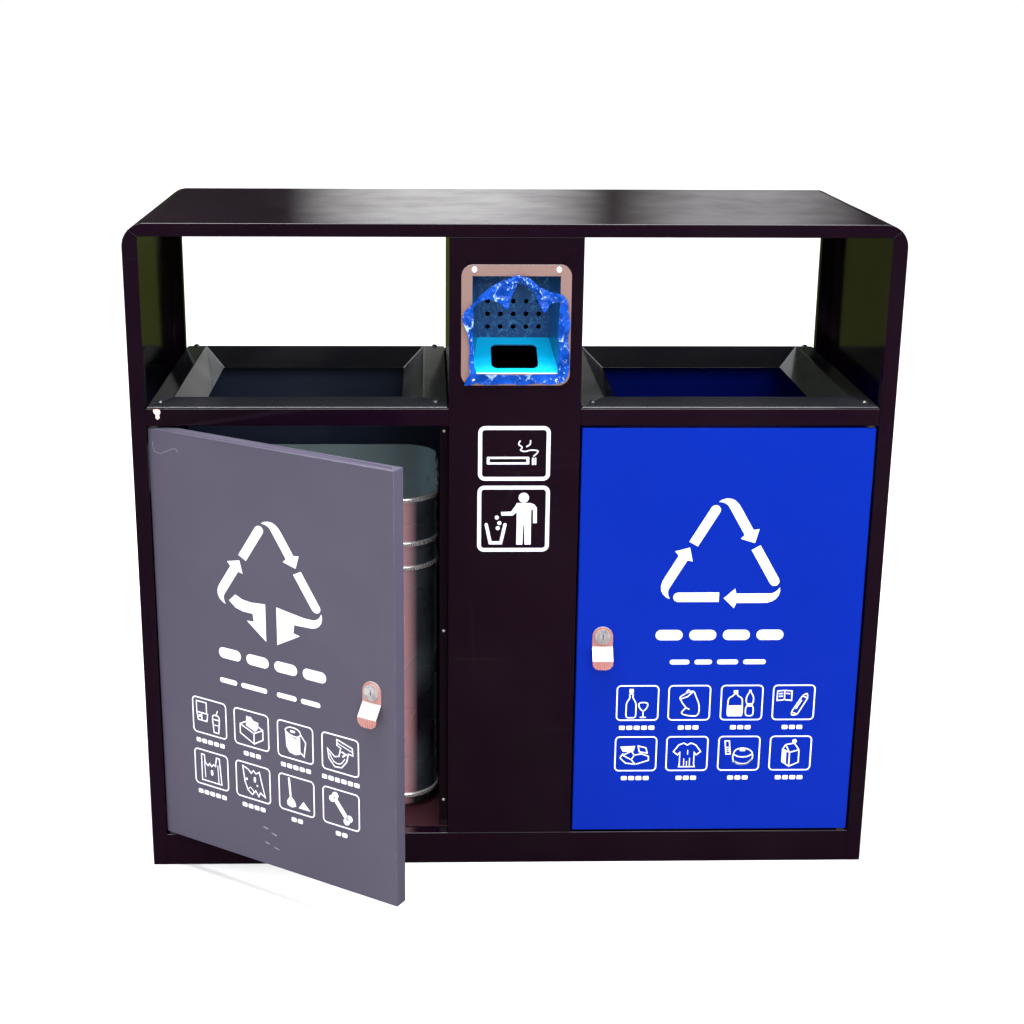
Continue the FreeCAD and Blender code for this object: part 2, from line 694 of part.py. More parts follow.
# --------------------------------------------------------------------- doors
def build_doors():
    """Fold the door pans and fit their bushes, pivot pins and washers."""
    for side, name in SIDES:
        x_low = DOOR_IN if side == RIGHT else -DOOR_OUT
        x_high = DOOR_OUT if side == RIGHT else -DOOR_IN
        body = new_body("%s_door_pan" % name)
        pad(body, "XZ", FRONT, door_deep, [rectangle(x_low, x_high, DOOR_LOW, DOOR_TOP)])
        wall = door_skin
        inside = rectangle(x_low + wall, x_high - wall, DOOR_LOW + wall, DOOR_TOP - wall)
        pocket(body, "XZ", FRONT + wall, door_deep - wall * 2, [inside])
        hem = rectangle(x_low + door_hem, x_high - door_hem, DOOR_LOW + door_hem, DOOR_TOP - door_hem)
        pocket(body, "XZ", DOOR_BACK - wall - 0.01, wall + 1, [hem])
        front_edges = [along("z", x=x_low, y=FRONT), along("z", x=x_high, y=FRONT),
                       along("x", y=FRONT, z=DOOR_LOW), along("x", y=FRONT, z=DOOR_TOP)]
        fillet(body, front_edges, door_bend)
        pin_hole = ("circle", side * PIVOT_X, PIVOT_Y, pin_round + pin_play)
        pocket(body, "XY", DOOR_LOW - 1, wall + 2, [pin_hole])
        hang = ("circle", side * (DOOR_IN + hang_edge), FRONT + door_deep / 2, hang_hole)
        pocket(body, "XY", DOOR_TOP - wall - 1, wall + 2, [pin_hole, hang])
        barrel = ("circle", side * LOCK_X, lock_high, barrel_round)
        pocket(body, "XZ", FRONT - 1, wall + 2, [barrel])
        ring = pin_round + pin_play
        tubes = []
        for level, start in (("low", DOOR_LOW + wall), ("top", DOOR_TOP - wall - bush_long)):
            spot = (side * PIVOT_X, PIVOT_Y, start)
            sleeve = cylinder("%s_sleeve_%s" % (name, level), "z", ring + bush_wall, spot, bush_long)
            spot = (side * PIVOT_X, PIVOT_Y, start - 1)
            bore = cylinder("%s_bore_%s" % (name, level), "z", ring, spot, bush_long + 2)
            tubes.append(cut("%s_bush_%s" % (name, level), sleeve, bore))
        keep(group(name + "_bush_group", tubes), name + "_door_bushes")
        pins = []
        discs = []
        spans = (("low", plinth_high - pin_root, pin_root + door_gap + pin_reach, plinth_high),
                 ("top", sill_low - door_gap - pin_reach, pin_root + door_gap + pin_reach, DOOR_TOP + washer_play))
        for level, start, length, disc_start in spans:
            pins.append(cylinder("%s_pin_%s" % (name, level), "z", pin_round,
                                 (side * PIVOT_X, PIVOT_Y, start), length))
            disc = cylinder("%s_disc_%s" % (name, level), "z", washer_round,
                            (side * PIVOT_X, PIVOT_Y, disc_start), door_gap - washer_play)
            hole = cylinder("%s_eye_%s" % (name, level), "z", pin_round,
                            (side * PIVOT_X, PIVOT_Y, disc_start - 1), door_gap + 2)
            discs.append(cut("%s_washer_%s" % (name, level), disc, hole))
        keep(group(name + "_pin_group", pins), name + "_pivot_pins")
        keep(group(name + "_washer_group", discs), name + "_pivot_washers")


def hexagon(x, z, flat):
    """Return the corners of a hexagon given across its flats."""
    reach = flat / math.sqrt(3)
    half = flat / 2
    return [(x + reach, z), (x + reach / 2, z + half), (x - reach / 2, z + half),
            (x - reach, z), (x - reach / 2, z - half), (x + reach / 2, z - half)]


def build_locks():
    """Fit each door with a pull plate and a quarter-turn cam lock."""
    for side, name in SIDES:
        x = side * LOCK_X
        half = lock_wide / 2
        top = lock_high + lock_flat
        bend = lock_high - lock_flat
        knee = bend - lock_slope
        foot = knee - lock_lip
        outer = FRONT - lock_plate
        far = outer - lock_out
        body = new_body(name + "_lock_plate")
        loop = [(outer, top), (FRONT, top), (FRONT, bend), (far + lock_plate, knee), (far + lock_plate, foot),
                (far, foot), (far, knee - 0.6), (outer, bend - 0.6)]
        pad(body, "YZ", x - half, lock_wide, [loop])
        fillet(body, [along("y", x=x + sign * half, z=top) for sign in (-1, 1)], half - 0.2)
        fillet(body, [along("y", x=x + sign * half, z=foot) for sign in (-1, 1)], half * 0.7)
        pocket(body, "XZ", outer - 1, lock_plate + 2, [("circle", x, lock_high, barrel_round)])
        body = new_body(name + "_lock_housing")
        barrel_back = DOOR_BACK - 1
        pad(body, "XZ", outer - bezel_high, bezel_high, [("circle", x, lock_high, bezel_round)])
        pad(body, "XZ", outer, barrel_back - outer, [("circle", x, lock_high, barrel_round)])
        pocket(body, "XZ", outer - bezel_high - 1, barrel_back - outer + bezel_high + 2,
               [("circle", x, lock_high, rotor_round + rotor_play)])
        body = new_body(name + "_housing_nut")
        pad(body, "XZ", FRONT + door_skin, barrel_nut_high,
            [hexagon(x, lock_high, barrel_nut_flat), ("circle", x, lock_high, barrel_round)])
        cam_start = DOOR_BACK + stop_play + skin + cam_play
        body = new_body(name + "_lock_rotor")
        rotor_front = outer - bezel_high - 0.3
        pad(body, "XZ", rotor_front, cam_start - rotor_front, [("circle", x, lock_high, rotor_round)])
        stud_long = cam_thick + cam_nut_high + 1.5
        pad(body, "XZ", cam_start, stud_long, [("circle", x, lock_high, stud_round)])
        key = rectangle(x - key_wide / 2, x + key_wide / 2, lock_high - key_high / 2, lock_high + key_high / 2)
        pocket(body, "XZ", rotor_front - 1, as_dim(6), [key])
        body = new_body(name + "_lock_cam")
        wing = cam_wide / 2
        cam_loop = [(x - wing, lock_high + wing), (x - wing, lock_high - cam_long + 4),
                    (x - wing + 4, lock_high - cam_long), (x + wing - 4, lock_high - cam_long),
                    (x + wing, lock_high - cam_long + 4), (x + wing, lock_high + wing)]
        pad(body, "XZ", cam_start, cam_thick, [cam_loop, ("circle", x, lock_high, stud_round)])
        body = new_body(name + "_cam_nut")
        pad(body, "XZ", cam_start + cam_thick, cam_nut_high,
            [hexagon(x, lock_high, cam_nut_flat), ("circle", x, lock_high, stud_round)])


# -------------------------------------------------------------------- liners
def soften(name, item, size):
    """Round the two outer loops of a ring."""
    rounded = doc.addObject("Part::Fillet", name)
    rounded.Base = item
    box = item.Shape.BoundBox
    chosen = []
    for index, edge in enumerate(item.Shape.Edges):
        spot = edge.BoundBox
        flat = spot.ZLength < TOL
        touches = (abs(spot.XMin - box.XMin) < TOL or abs(spot.XMax - box.XMax) < TOL
                   or abs(spot.YMin - box.YMin) < TOL or abs(spot.YMax - box.YMax) < TOL)
        if flat and touches:
            chosen.append((index + 1, size.value, size.value))
    rounded.Edges = chosen
    doc.recompute()
    return rounded


class LinerPlan:
    """The plan outline of one liner, offset outwards or inwards."""

    def __init__(self, side):
        self.centre = side * (POST + COLUMN) / 2
        self.half = liner_wide / 2
        self.front = FRONT + liner_front
        self.rear = self.front + liner_deep

    def prism(self, name, offset, low, high):
        """Return a rounded prism whose walls stand off the outline."""
        offset = as_dim(offset)
        return rounded_block(name, self.centre - self.half - offset, self.centre + self.half + offset,
                             self.front - offset, self.rear + offset, low, high, liner_corner + offset)

    def ring(self, name, out, low, high):
        """Return a softened ring that hugs the outside of the wall."""
        outer = self.prism(name + "_outer", out, low, high)
        inner = self.prism(name + "_inner", 0, low - 1, high + 1)
        return soften(name, cut(name + "_sharp", outer, inner), out * 0.8)


def build_liners():
    """Make the two lift-out liners with beads, rolled rims and foot rings."""
    for side, name in SIDES:
        plan = LinerPlan(side)
        outer = plan.prism(name + "_tub_outer", 0, liner_low, liner_top)
        inner = plan.prism(name + "_tub_inner", -liner_skin, liner_low + liner_skin, liner_top + 1)
        keep(cut(name + "_tub", outer, inner), name + "_liner_tub")
        levels = (bead_one, bead_two, liner_low + bead_high / 2)
        beads = [plan.ring("%s_bead_%d" % (name, index), bead_out, level - bead_high / 2, level + bead_high / 2)
                 for index, level in enumerate(levels)]
        keep(group(name + "_bead_group", beads), name + "_liner_beads")
        keep(plan.ring(name + "_rim", rim_out, liner_top - rim_high, liner_top), name + "_liner_rim")
        foot = plan.prism(name + "_foot", -liner_foot_in, FLOOR_TOP + liner_foot_play, liner_low)
        keep(foot, name + "_liner_foot")


# ---------------------------------------------------------------------- main
def swing_left_door():
    """Turn the left door's nodes about the pivot to the resting angle."""
    angle = -float(sheet.get("door_rest_angle"))
    pivot = FreeCAD.Vector(-PIVOT_X.value, PIVOT_Y.value, 0)
    turn = FreeCAD.Placement(FreeCAD.Vector(), FreeCAD.Rotation(FreeCAD.Vector(0, 0, 1), angle), pivot)
    names = ("left_door_pan", "left_door_bushes", "left_lock_plate", "left_lock_housing",
             "left_housing_nut", "left_lock_rotor", "left_lock_cam", "left_cam_nut")
    for node in nodes:
        if node.Label in names:
            node.Placement = turn


def write_parts():
    """Check every object and write one file per node."""
    doc.recompute()
    for item in doc.Objects:
        bad = [state for state in item.State if state in ("Invalid", "Error")]
        assert not bad, "bad object " + item.Name
    for name in os.listdir("parts"):
        os.remove(os.path.join("parts", name))
    for node in nodes:
        shape = node.Shape
        assert not shape.isNull(), "empty " + node.Label
        assert shape.isValid(), "invalid " + node.Label
        assert shape.Solids, "no solid in " + node.Label
        shape.exportStep("parts/%s.step" % node.Label)
    print("wrote %d nodes" % len(nodes))


build_shell()
build_rails()
build_floor()
build_column()
build_back_panels()
build_hoppers()
build_ashtray()
build_ash_can()
build_doors()
build_locks()
build_liners()
swing_left_door()
write_parts()
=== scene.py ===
"""Recycling bin station: finishes, printed signs, film, fixings and a plain studio.

Lengths inside the classes are millimetres unless a name says otherwise, and are
turned into metres where a mesh is made. X runs right, Y back and Z up.
"""
import json
import logging
import math
import random
from dataclasses import dataclass, field
from enum import Enum
from typing import Callable, Iterable, Sequence

import bmesh
import bpy
from mathutils import Matrix, Vector, noise
from mathutils.geometry import delaunay_2d_cdt, tessellate_polygon


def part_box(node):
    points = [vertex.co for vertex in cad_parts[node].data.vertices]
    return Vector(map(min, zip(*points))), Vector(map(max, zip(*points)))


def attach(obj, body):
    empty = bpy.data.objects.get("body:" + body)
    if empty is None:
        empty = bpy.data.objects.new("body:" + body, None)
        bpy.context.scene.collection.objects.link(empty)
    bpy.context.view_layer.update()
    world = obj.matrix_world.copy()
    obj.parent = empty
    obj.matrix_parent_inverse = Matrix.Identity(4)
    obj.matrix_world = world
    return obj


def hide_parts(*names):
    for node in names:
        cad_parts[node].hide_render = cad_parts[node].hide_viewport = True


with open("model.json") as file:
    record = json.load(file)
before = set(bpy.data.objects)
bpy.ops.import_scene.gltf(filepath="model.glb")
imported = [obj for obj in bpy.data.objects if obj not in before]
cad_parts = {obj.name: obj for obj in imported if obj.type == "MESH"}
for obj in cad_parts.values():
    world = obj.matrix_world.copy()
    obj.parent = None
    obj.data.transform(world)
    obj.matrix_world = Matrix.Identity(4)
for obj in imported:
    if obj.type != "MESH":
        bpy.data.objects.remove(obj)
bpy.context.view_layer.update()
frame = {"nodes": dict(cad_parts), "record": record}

LOG = logging.getLogger("bin_station")
MM = 0.001
Point = tuple[float, float]
Loop = list[Point]
Colour = tuple[float, float, float]


class Side(Enum):
    """The two halves of the station."""

    LEFT = "left"
    RIGHT = "right"

    @property
    def sign(self) -> int:
        """Return -1 for the left half and 1 for the right."""
        return -1 if self is Side.LEFT else 1


class Grain(Enum):
    """The way a brushed or rolled sheet's grain runs."""

    ALONG_X = (0.03, 1.0, 1.0)
    ALONG_Z = (1.0, 1.0, 0.03)


# ------------------------------------------------------------------- shader kit
class Graph:
    """A short way to add and join nodes in one node tree."""

    def __init__(self, tree: bpy.types.NodeTree) -> None:
        """Keep the tree that the nodes go in."""
        self.tree = tree

    def add(self, kind: str, feeds: dict | None = None, **settings) -> bpy.types.Node:
        """Add a node.

        Args:
            kind: node type without its ShaderNode prefix.
            feeds: input name or index, with a value or an output socket.
            settings: node properties.

        Returns:
            The new node.
        """
        node = self.tree.nodes.new("ShaderNode" + kind)
        for name, value in settings.items():
            setattr(node, name, value)
        for key, value in (feeds or {}).items():
            self.feed(node.inputs[key], value)
        return node

    def feed(self, socket: bpy.types.NodeSocket, value: object) -> None:
        """Join a socket to an output, or set its value."""
        if isinstance(value, bpy.types.NodeSocket):
            self.tree.links.new(value, socket)
        elif isinstance(value, (tuple, list)) and socket.type == "RGBA" and len(value) == 3:
            socket.default_value = (*value, 1.0)
        else:
            socket.default_value = value

    def math(self, action: str, first: object, second: object = 0.0) -> bpy.types.NodeSocket:
        """Return one arithmetic result."""
        return self.add("Math", {0: first, 1: second}, operation=action).outputs[0]

    def band(self, value: object, low: float, high: float,
             to_low: object = 0.0, to_high: object = 1.0) -> bpy.types.NodeSocket:
        """Return a value stretched from one range to another, and held inside it."""
        feeds = {"Value": value, "From Min": low, "From Max": high, "To Min": to_low, "To Max": to_high}
        return self.add("MapRange", feeds).outputs["Result"]

    def mix(self, amount: object, first: object, second: object) -> bpy.types.NodeSocket:
        """Return a mix of two colours."""
        node = self.add("Mix", data_type="RGBA")
        self.feed(node.inputs["Factor"], amount)
        colours = [socket for socket in node.inputs if socket.type == "RGBA"]
        self.feed(colours[0], first)
        self.feed(colours[1], second)
        return [socket for socket in node.outputs if socket.type == "RGBA"][0]

    def noise(self, scale: object, detail: float = 3.0, vector: object = None) -> bpy.types.NodeSocket:
        """Return noise over the piece's own space."""
        feeds = {"Scale": scale, "Detail": detail}
        feeds["Vector"] = vector if vector is not None else self.place()
        return self.add("TexNoise", feeds).outputs[0]

    def place(self) -> bpy.types.NodeSocket:
        """Return the piece's own coordinates in metres."""
        return self.add("TexCoord").outputs["Object"]

    def stretched(self, scale: Sequence[float]) -> bpy.types.NodeSocket:
        """Return the piece's coordinates, scaled by axis."""
        return self.add("Mapping", {"Vector": self.place(), "Scale": tuple(scale)}).outputs[0]


def new_group(name: str, inputs: dict[str, float], outputs: Iterable[str],
              fill: Callable[[Graph, dict], dict]) -> bpy.types.NodeTree:
    """Make a shader node group.

    Args:
        name: the group's name.
        inputs: number inputs with their usual values.
        outputs: names of the number outputs.
        fill: draws the nodes, given the graph and the input sockets, and returns the outputs.

    Returns:
        The group's node tree.
    """
    tree = bpy.data.node_groups.new(name, "ShaderNodeTree")
    for key, value in inputs.items():
        socket = tree.interface.new_socket(key, in_out="INPUT", socket_type="NodeSocketFloat")
        socket.default_value = value
    for key in outputs:
        tree.interface.new_socket(key, in_out="OUTPUT", socket_type="NodeSocketFloat")
    graph = Graph(tree)
    source = tree.nodes.new("NodeGroupInput")
    target = tree.nodes.new("NodeGroupOutput")
    results = fill(graph, {key: source.outputs[key] for key in inputs})
    for key, value in results.items():
        graph.feed(target.inputs[key], value)
    return tree


@dataclass
class Effects:
    """Shader groups that several finishes share."""

    peel: bpy.types.NodeTree = field(init=False)
    grime: bpy.types.NodeTree = field(init=False)
    scratch: bpy.types.NodeTree = field(init=False)
    brushed: bpy.types.NodeTree = field(init=False)
    crinkle: bpy.types.NodeTree = field(init=False)
    worn: bpy.types.NodeTree = field(init=False)

    def __post_init__(self) -> None:
        """Build every group once."""
        self.peel = new_group("powder_peel", {"Scale": 260.0}, ["Height"], self.draw_peel)
        self.grime = new_group("soft_grime", {"Scale": 9.0, "Cover": 0.5}, ["Mask"], self.draw_grime)
        self.scratch = new_group("fine_scratches", {"Scale": 14.0}, ["Mask"], self.draw_scratch)
        self.brushed = new_group("sheet_grain", {"Across": 1400.0, "Slow": 0.03}, ["AlongX", "AlongZ"],
                                 self.draw_brushed)
        self.crinkle = new_group("film_crinkle", {"Scale": 60.0}, ["Height", "Fold"], self.draw_crinkle)
        self.worn = new_group("edge_wear", {"Reach": 0.0012}, ["Mask"], self.draw_worn)

    @staticmethod
    def draw_peel(graph: Graph, given: dict) -> dict:
        """Draw the orange-peel ripple of a powder coat."""
        fine = graph.noise(given["Scale"], 2.0)
        broad = graph.noise(graph.math("MULTIPLY", given["Scale"], 0.11), 1.0)
        return {"Height": graph.math("ADD", graph.math("MULTIPLY", fine, 0.6), broad)}

    @staticmethod
    def draw_grime(graph: Graph, given: dict) -> dict:
        """Draw soft patches of dust and hand marks."""
        cloud = graph.noise(given["Scale"], 7.0)
        speck = graph.noise(graph.math("MULTIPLY", given["Scale"], 40.0), 2.0)
        patch = graph.band(cloud, 0.45, 0.75)
        dots = graph.band(speck, 0.62, 0.74)
        both = graph.math("ADD", patch, graph.math("MULTIPLY", dots, 0.5))
        return {"Mask": graph.math("MULTIPLY", both, given["Cover"])}

    @staticmethod
    def draw_scratch(graph: Graph, given: dict) -> dict:
        """Draw sparse hairline scratches in two directions."""
        masks = []
        for turn, stretch in ((0.4, (1.0, 1.0, 0.12)), (-0.9, (0.15, 1.0, 1.0))):
            spun = graph.add("Mapping", {"Vector": graph.place(), "Rotation": (0.0, turn, 0.0),
                                         "Scale": stretch}).outputs[0]
            cells = graph.add("TexVoronoi", {"Vector": spun, "Scale": given["Scale"], "Randomness": 1.0},
                              feature="DISTANCE_TO_EDGE").outputs["Distance"]
            masks.append(graph.band(cells, 0.0, 0.004, 1.0, 0.0))
        rare = graph.band(graph.noise(6.0, 2.0), 0.52, 0.66)
        return {"Mask": graph.math("MULTIPLY", graph.math("MAXIMUM", masks[0], masks[1]), rare)}

    @staticmethod
    def draw_brushed(graph: Graph, given: dict) -> dict:
        """Draw rolling or brushing lines both ways."""
        results = {}
        for key, axis in (("AlongX", 0), ("AlongZ", 2)):
            parts = graph.add("SeparateXYZ", {0: graph.place()})
            sizes = [graph.math("MULTIPLY", parts.outputs[index], given["Slow"]) if index == axis
                     else parts.outputs[index] for index in range(3)]
            joined = graph.add("CombineXYZ", {0: sizes[0], 1: sizes[1], 2: sizes[2]}).outputs[0]
            results[key] = graph.noise(given["Across"], 4.0, joined)
        return results

    @staticmethod
    def draw_crinkle(graph: Graph, given: dict) -> dict:
        """Draw the facets and sharp folds of thin plastic film."""
        warp = graph.add("TexNoise", {"Vector": graph.place(), "Scale": 45.0, "Detail": 2.0}).outputs["Color"]
        bent = graph.add("VectorMath", {0: warp, 1: (0.02, 0.02, 0.02)}, operation="MULTIPLY").outputs[0]
        moved = graph.add("VectorMath", {0: graph.place(), 1: bent}, operation="ADD").outputs[0]
        cells = graph.add("TexVoronoi", {"Vector": moved, "Scale": given["Scale"]},
                          feature="DISTANCE_TO_EDGE").outputs["Distance"]
        # This mask shapes the bump and also places the film's painted highlights.
        fold_and_highlight = graph.band(cells, 0.0, 0.09, 1.0, 0.0)
        facets = graph.add("TexVoronoi", {"Vector": moved, "Scale": graph.math("MULTIPLY", given["Scale"], 0.55)},
                           feature="SMOOTH_F1").outputs["Distance"]
        return {"Height": graph.math("ADD", facets, graph.math("MULTIPLY", fold_and_highlight, 0.35)), "Fold": fold_and_highlight}

    @staticmethod
    def draw_worn(graph: Graph, given: dict) -> dict:
        """Find the outer edges of a piece, broken up by noise."""
        rounded = graph.add("Bevel", {"Radius": given["Reach"]}, samples=4).outputs[0]
        true = graph.add("NewGeometry").outputs["Normal"]
        facing = graph.add("VectorMath", {0: rounded, 1: true}, operation="DOT_PRODUCT").outputs["Value"]
        edge = graph.band(facing, 0.85, 0.97, 1.0, 0.0)
        broken = graph.band(graph.noise(55.0, 6.0), 0.5, 0.72)
        return {"Mask": graph.math("MULTIPLY", edge, broken)}


def start_material(name: str) -> tuple[bpy.types.Material, Graph, bpy.types.Node]:
    """Make a material and return it with its graph and its shader."""
    material = bpy.data.materials.new(name)
    material.use_nodes = True
    graph = Graph(material.node_tree)
    shader = material.node_tree.nodes["Principled BSDF"]
    return material, graph, shader


def use_group(graph: Graph, tree: bpy.types.NodeTree, feeds: dict | None = None) -> bpy.types.Node:
    """Place a shared group in a material."""
    node = graph.add("Group", node_tree=tree)
    for key, value in (feeds or {}).items():
        graph.feed(node.inputs[key], value)
    return node


def bump(graph: Graph, shader: bpy.types.Node, height: object, strength: float, distance: float) -> None:
    """Feed a height to the shader's normal."""
    node = graph.add("Bump", {"Strength": strength, "Distance": distance, "Height": height})
    graph.feed(shader.inputs["Normal"], node.outputs["Normal"])


@dataclass(frozen=True)
class Paint:
    """A powder-coated sheet: colour, gloss, ripple, dust and worn edges."""

    name: str
    colour: Colour
    shade: Colour
    rough: float
    coat: float
    specular: float = 0.5
    dust: float = 0.06
    dust_colour: Colour = (0.30, 0.27, 0.25)
    worn_colour: Colour = (0.20, 0.18, 0.17)
    worn: float = 0.35
    ripple: float = 0.10
    waviness: float = 25.0

    def build(self, effects: Effects) -> bpy.types.Material:
        """Return the material.

        Args:
            effects: the shared shader groups.
        """
        material, graph, shader = start_material(self.name)
        body = graph.mix(graph.band(graph.noise(2.2, 3.0), 0.35, 0.65), self.colour, self.shade)
        grime = use_group(graph, effects.grime, {"Scale": 7.0, "Cover": self.dust}).outputs["Mask"]
        dusty = graph.mix(grime, body, self.dust_colour)
        hair = use_group(graph, effects.scratch, {"Scale": 5.0}).outputs["Mask"]
        marked = graph.mix(graph.math("MULTIPLY", hair, 0.012), dusty, self.dust_colour)
        edge = use_group(graph, effects.worn, {"Reach": 0.0011}).outputs["Mask"]
        bare = graph.mix(graph.math("MULTIPLY", edge, self.worn), marked, self.worn_colour)
        graph.feed(shader.inputs["Base Color"], bare)
        blur = graph.band(graph.noise(16.0, 5.0), 0.3, 0.7, self.rough - 0.03, self.rough + 0.06)
        graph.feed(shader.inputs["Roughness"], graph.math("ADD", blur, graph.math("MULTIPLY", grime, 0.9)))
        shader.inputs["Coat Weight"].default_value = self.coat
        shader.inputs["Coat Roughness"].default_value = 0.07
        shader.inputs["Specular IOR Level"].default_value = self.specular
        peel = use_group(graph, effects.peel, {"Scale": 260.0}).outputs["Height"]
        wave = graph.math("MULTIPLY", graph.noise(4.5, 1.0), self.waviness)
        bump(graph, shader, graph.math("ADD", peel, wave), self.ripple, 0.0004)
        return material


@dataclass(frozen=True)
class Steel:
    """A bare metal sheet with rolling lines, smears and painted reflections: a tinted painted ground reflection on
    standing faces and a bright painted sky reflection on level faces.
    """

    name: str
    colour: Colour
    # Colour of standing faces: a painted reflection of the ground.
    upright_painted_reflection: Colour
    rough: float
    grain: Grain = Grain.ALONG_Z
    grain_depth: float = 0.12
    painted_reflection_weight: float = 1.0
    metal: float = 1.0

    def build(self, effects: Effects) -> bpy.types.Material:
        """Return the material.

        Args:
            effects: the shared shader groups.
        """
        material, graph, shader = start_material(self.name)
        normal = graph.add("NewGeometry").outputs["Normal"]
        lift = graph.add("SeparateXYZ", {0: normal}).outputs[2]
        # Painted reflection: level faces take the bright main colour and standing faces the second colour, chosen by
        # the way each face looks.
        level = graph.band(graph.math("ABSOLUTE", lift), 0.25, 0.8, self.painted_reflection_weight, 0.0)
        base = graph.mix(level, self.colour, self.upright_painted_reflection)
        smear = use_group(graph, effects.grime, {"Scale": 13.0, "Cover": 0.35}).outputs["Mask"]
        tone = graph.mix(smear, base, tuple(part * 0.72 for part in self.colour))
        graph.feed(shader.inputs["Base Color"], tone)
        lines = use_group(graph, effects.brushed).outputs["AlongX" if self.grain is Grain.ALONG_X else "AlongZ"]
        spread = graph.band(lines, 0.3, 0.7, self.rough * 0.75, self.rough * 1.3)
        graph.feed(shader.inputs["Roughness"], graph.math("ADD", spread, graph.math("MULTIPLY", smear, 0.25)))
        shader.inputs["Metallic"].default_value = self.metal
        bump(graph, shader, lines, self.grain_depth, 0.00012)
        return material


@dataclass(frozen=True)
class LinerSteel:
    """Bare sheet with painted light: a painted warm reflection on its front face, painted shade on its turned corners
    and a cool painted reflection inside.
    """

    name: str
    # Painted light: a cool reflection inside, a warm reflection on the front face and a dark shade on the turned
    # corners of that face.
    inside: Colour
    front: Colour
    corner: Colour
    front_ends: tuple[float, float]
    rough: float = 0.26
    metal: float = 0.45

    def build(self, effects: Effects) -> bpy.types.Material:
        """Return the material.

        Args:
            effects: the shared shader groups; not used.
        """
        material, graph, shader = start_material(self.name)
        geometry = graph.add("NewGeometry")
        facing = graph.add("SeparateXYZ", {0: geometry.outputs["Normal"]}).outputs[1]
        deep = graph.add("SeparateXYZ", {0: graph.place()}).outputs[1]
        # Forward faces in the front zone take the painted warm reflection, turned faces there take the painted shade,
        # and the rest takes the cool painted reflection.
        ahead = graph.band(facing, -0.995, -0.88, 1.0, 0.0)
        outside = graph.band(deep, self.front_ends[0], self.front_ends[1], 1.0, 0.0)
        outer = graph.mix(ahead, self.corner, self.front)
        base = graph.mix(outside, self.inside, outer)
        cloud = graph.band(graph.noise(7.0, 4.0), 0.42, 0.70, 0.0, 0.30)
        graph.feed(shader.inputs["Base Color"], graph.mix(cloud, base, tuple(part * 0.4 for part in self.inside)))
        spread = graph.band(graph.noise(9.0, 2.0), 0.3, 0.7, self.rough * 0.8, self.rough * 1.35)
        graph.feed(shader.inputs["Roughness"], spread)
        shader.inputs["Metallic"].default_value = self.metal
        bump(graph, shader, graph.noise(30.0, 1.0), 0.12, 0.0012)
        return material


@dataclass(frozen=True)
class FilmedSteel:
    """Steel that is bare in front of a plane and covered by blue film behind it, with painted light: painted
    reflections on steel and film, painted streak highlights, a painted shade near the top and a painted emission on the
    film.
    """

    name: str
    # The steel colour on level faces and the next one on standing faces are painted reflections; the film's bright
    # colour is a painted sky reflection on faces that look up.
    steel: Colour
    upright_painted_reflection: Colour
    film: Colour
    film_painted_sky_reflection: Colour
    film_plane: float
    rough: float = 0.28
    # Strength of a painted emission on the film.
    painted_emission: float = 0.16

    def build(self, effects: Effects) -> bpy.types.Material:
        """Return the material.

        Args:
            effects: the shared shader groups.
        """
        material, graph, shader = start_material(self.name)
        depth = graph.add("SeparateXYZ", {0: graph.place()}).outputs[1]
        inside = graph.band(depth, self.film_plane, self.film_plane + 0.0005)
        normal = graph.add("SeparateXYZ", {0: graph.add("NewGeometry").outputs["Normal"]}).outputs[2]
        # Faces that look up take the painted sky reflection: bright cyan film and bright bare steel.
        facing_up = graph.band(normal, 0.25, 0.8)
        swirl = graph.add("TexNoise", {"Vector": graph.place(), "Scale": 55.0, "Detail": 3.0, "Distortion": 2.2}).outputs[0]
        # Painted highlight: bright cyan streaks along the noise swirls.
        painted_streak_highlight = graph.band(graph.math("ABSOLUTE", graph.math("SUBTRACT", swirl, 0.5)), 0.0, 0.03, 0.28, 0.0)
        cover = graph.mix(facing_up, self.film, self.film_painted_sky_reflection)
        # Painted shade: the film darkens towards the top of the recess.
        level = graph.add("SeparateXYZ", {0: graph.place()}).outputs[2]
        film_painted_shade = graph.mix(graph.band(level, 0.790, 0.835), cover, tuple(part * 0.35 for part in self.film))
        film_painted_highlights = graph.mix(painted_streak_highlight, film_painted_shade, (0.10, 0.62, 1.0))
        lines = use_group(graph, effects.brushed).outputs["AlongZ"]
        plate = graph.mix(facing_up, self.upright_painted_reflection, self.steel)
        graph.feed(shader.inputs["Base Color"], graph.mix(inside, plate, film_painted_highlights))
        # Painted emission: the film area sends out its own colour as light.
        graph.feed(shader.inputs["Emission Color"], graph.mix(inside, (0.0, 0.0, 0.0), film_painted_shade))
        shader.inputs["Emission Strength"].default_value = self.painted_emission
        graph.feed(shader.inputs["Metallic"], graph.band(inside, 0.0, 1.0, 0.45, 0.1))
        spread = graph.band(lines, 0.3, 0.7, self.rough, self.rough + 0.12)
        graph.feed(shader.inputs["Roughness"], spread)
        graph.feed(shader.inputs["Coat Weight"], graph.math("MULTIPLY", inside, 0.3))
        shader.inputs["Coat Roughness"].default_value = 0.08
        height = graph.add("Mix", {"Factor": inside}, data_type="FLOAT")
        graph.feed(height.inputs[2], graph.math("MULTIPLY", lines, 0.12))
        graph.feed(height.inputs[3], graph.math("MULTIPLY", swirl, 1.6))
        bump(graph, shader, height.outputs[0], 0.35, 0.0012)
        return material


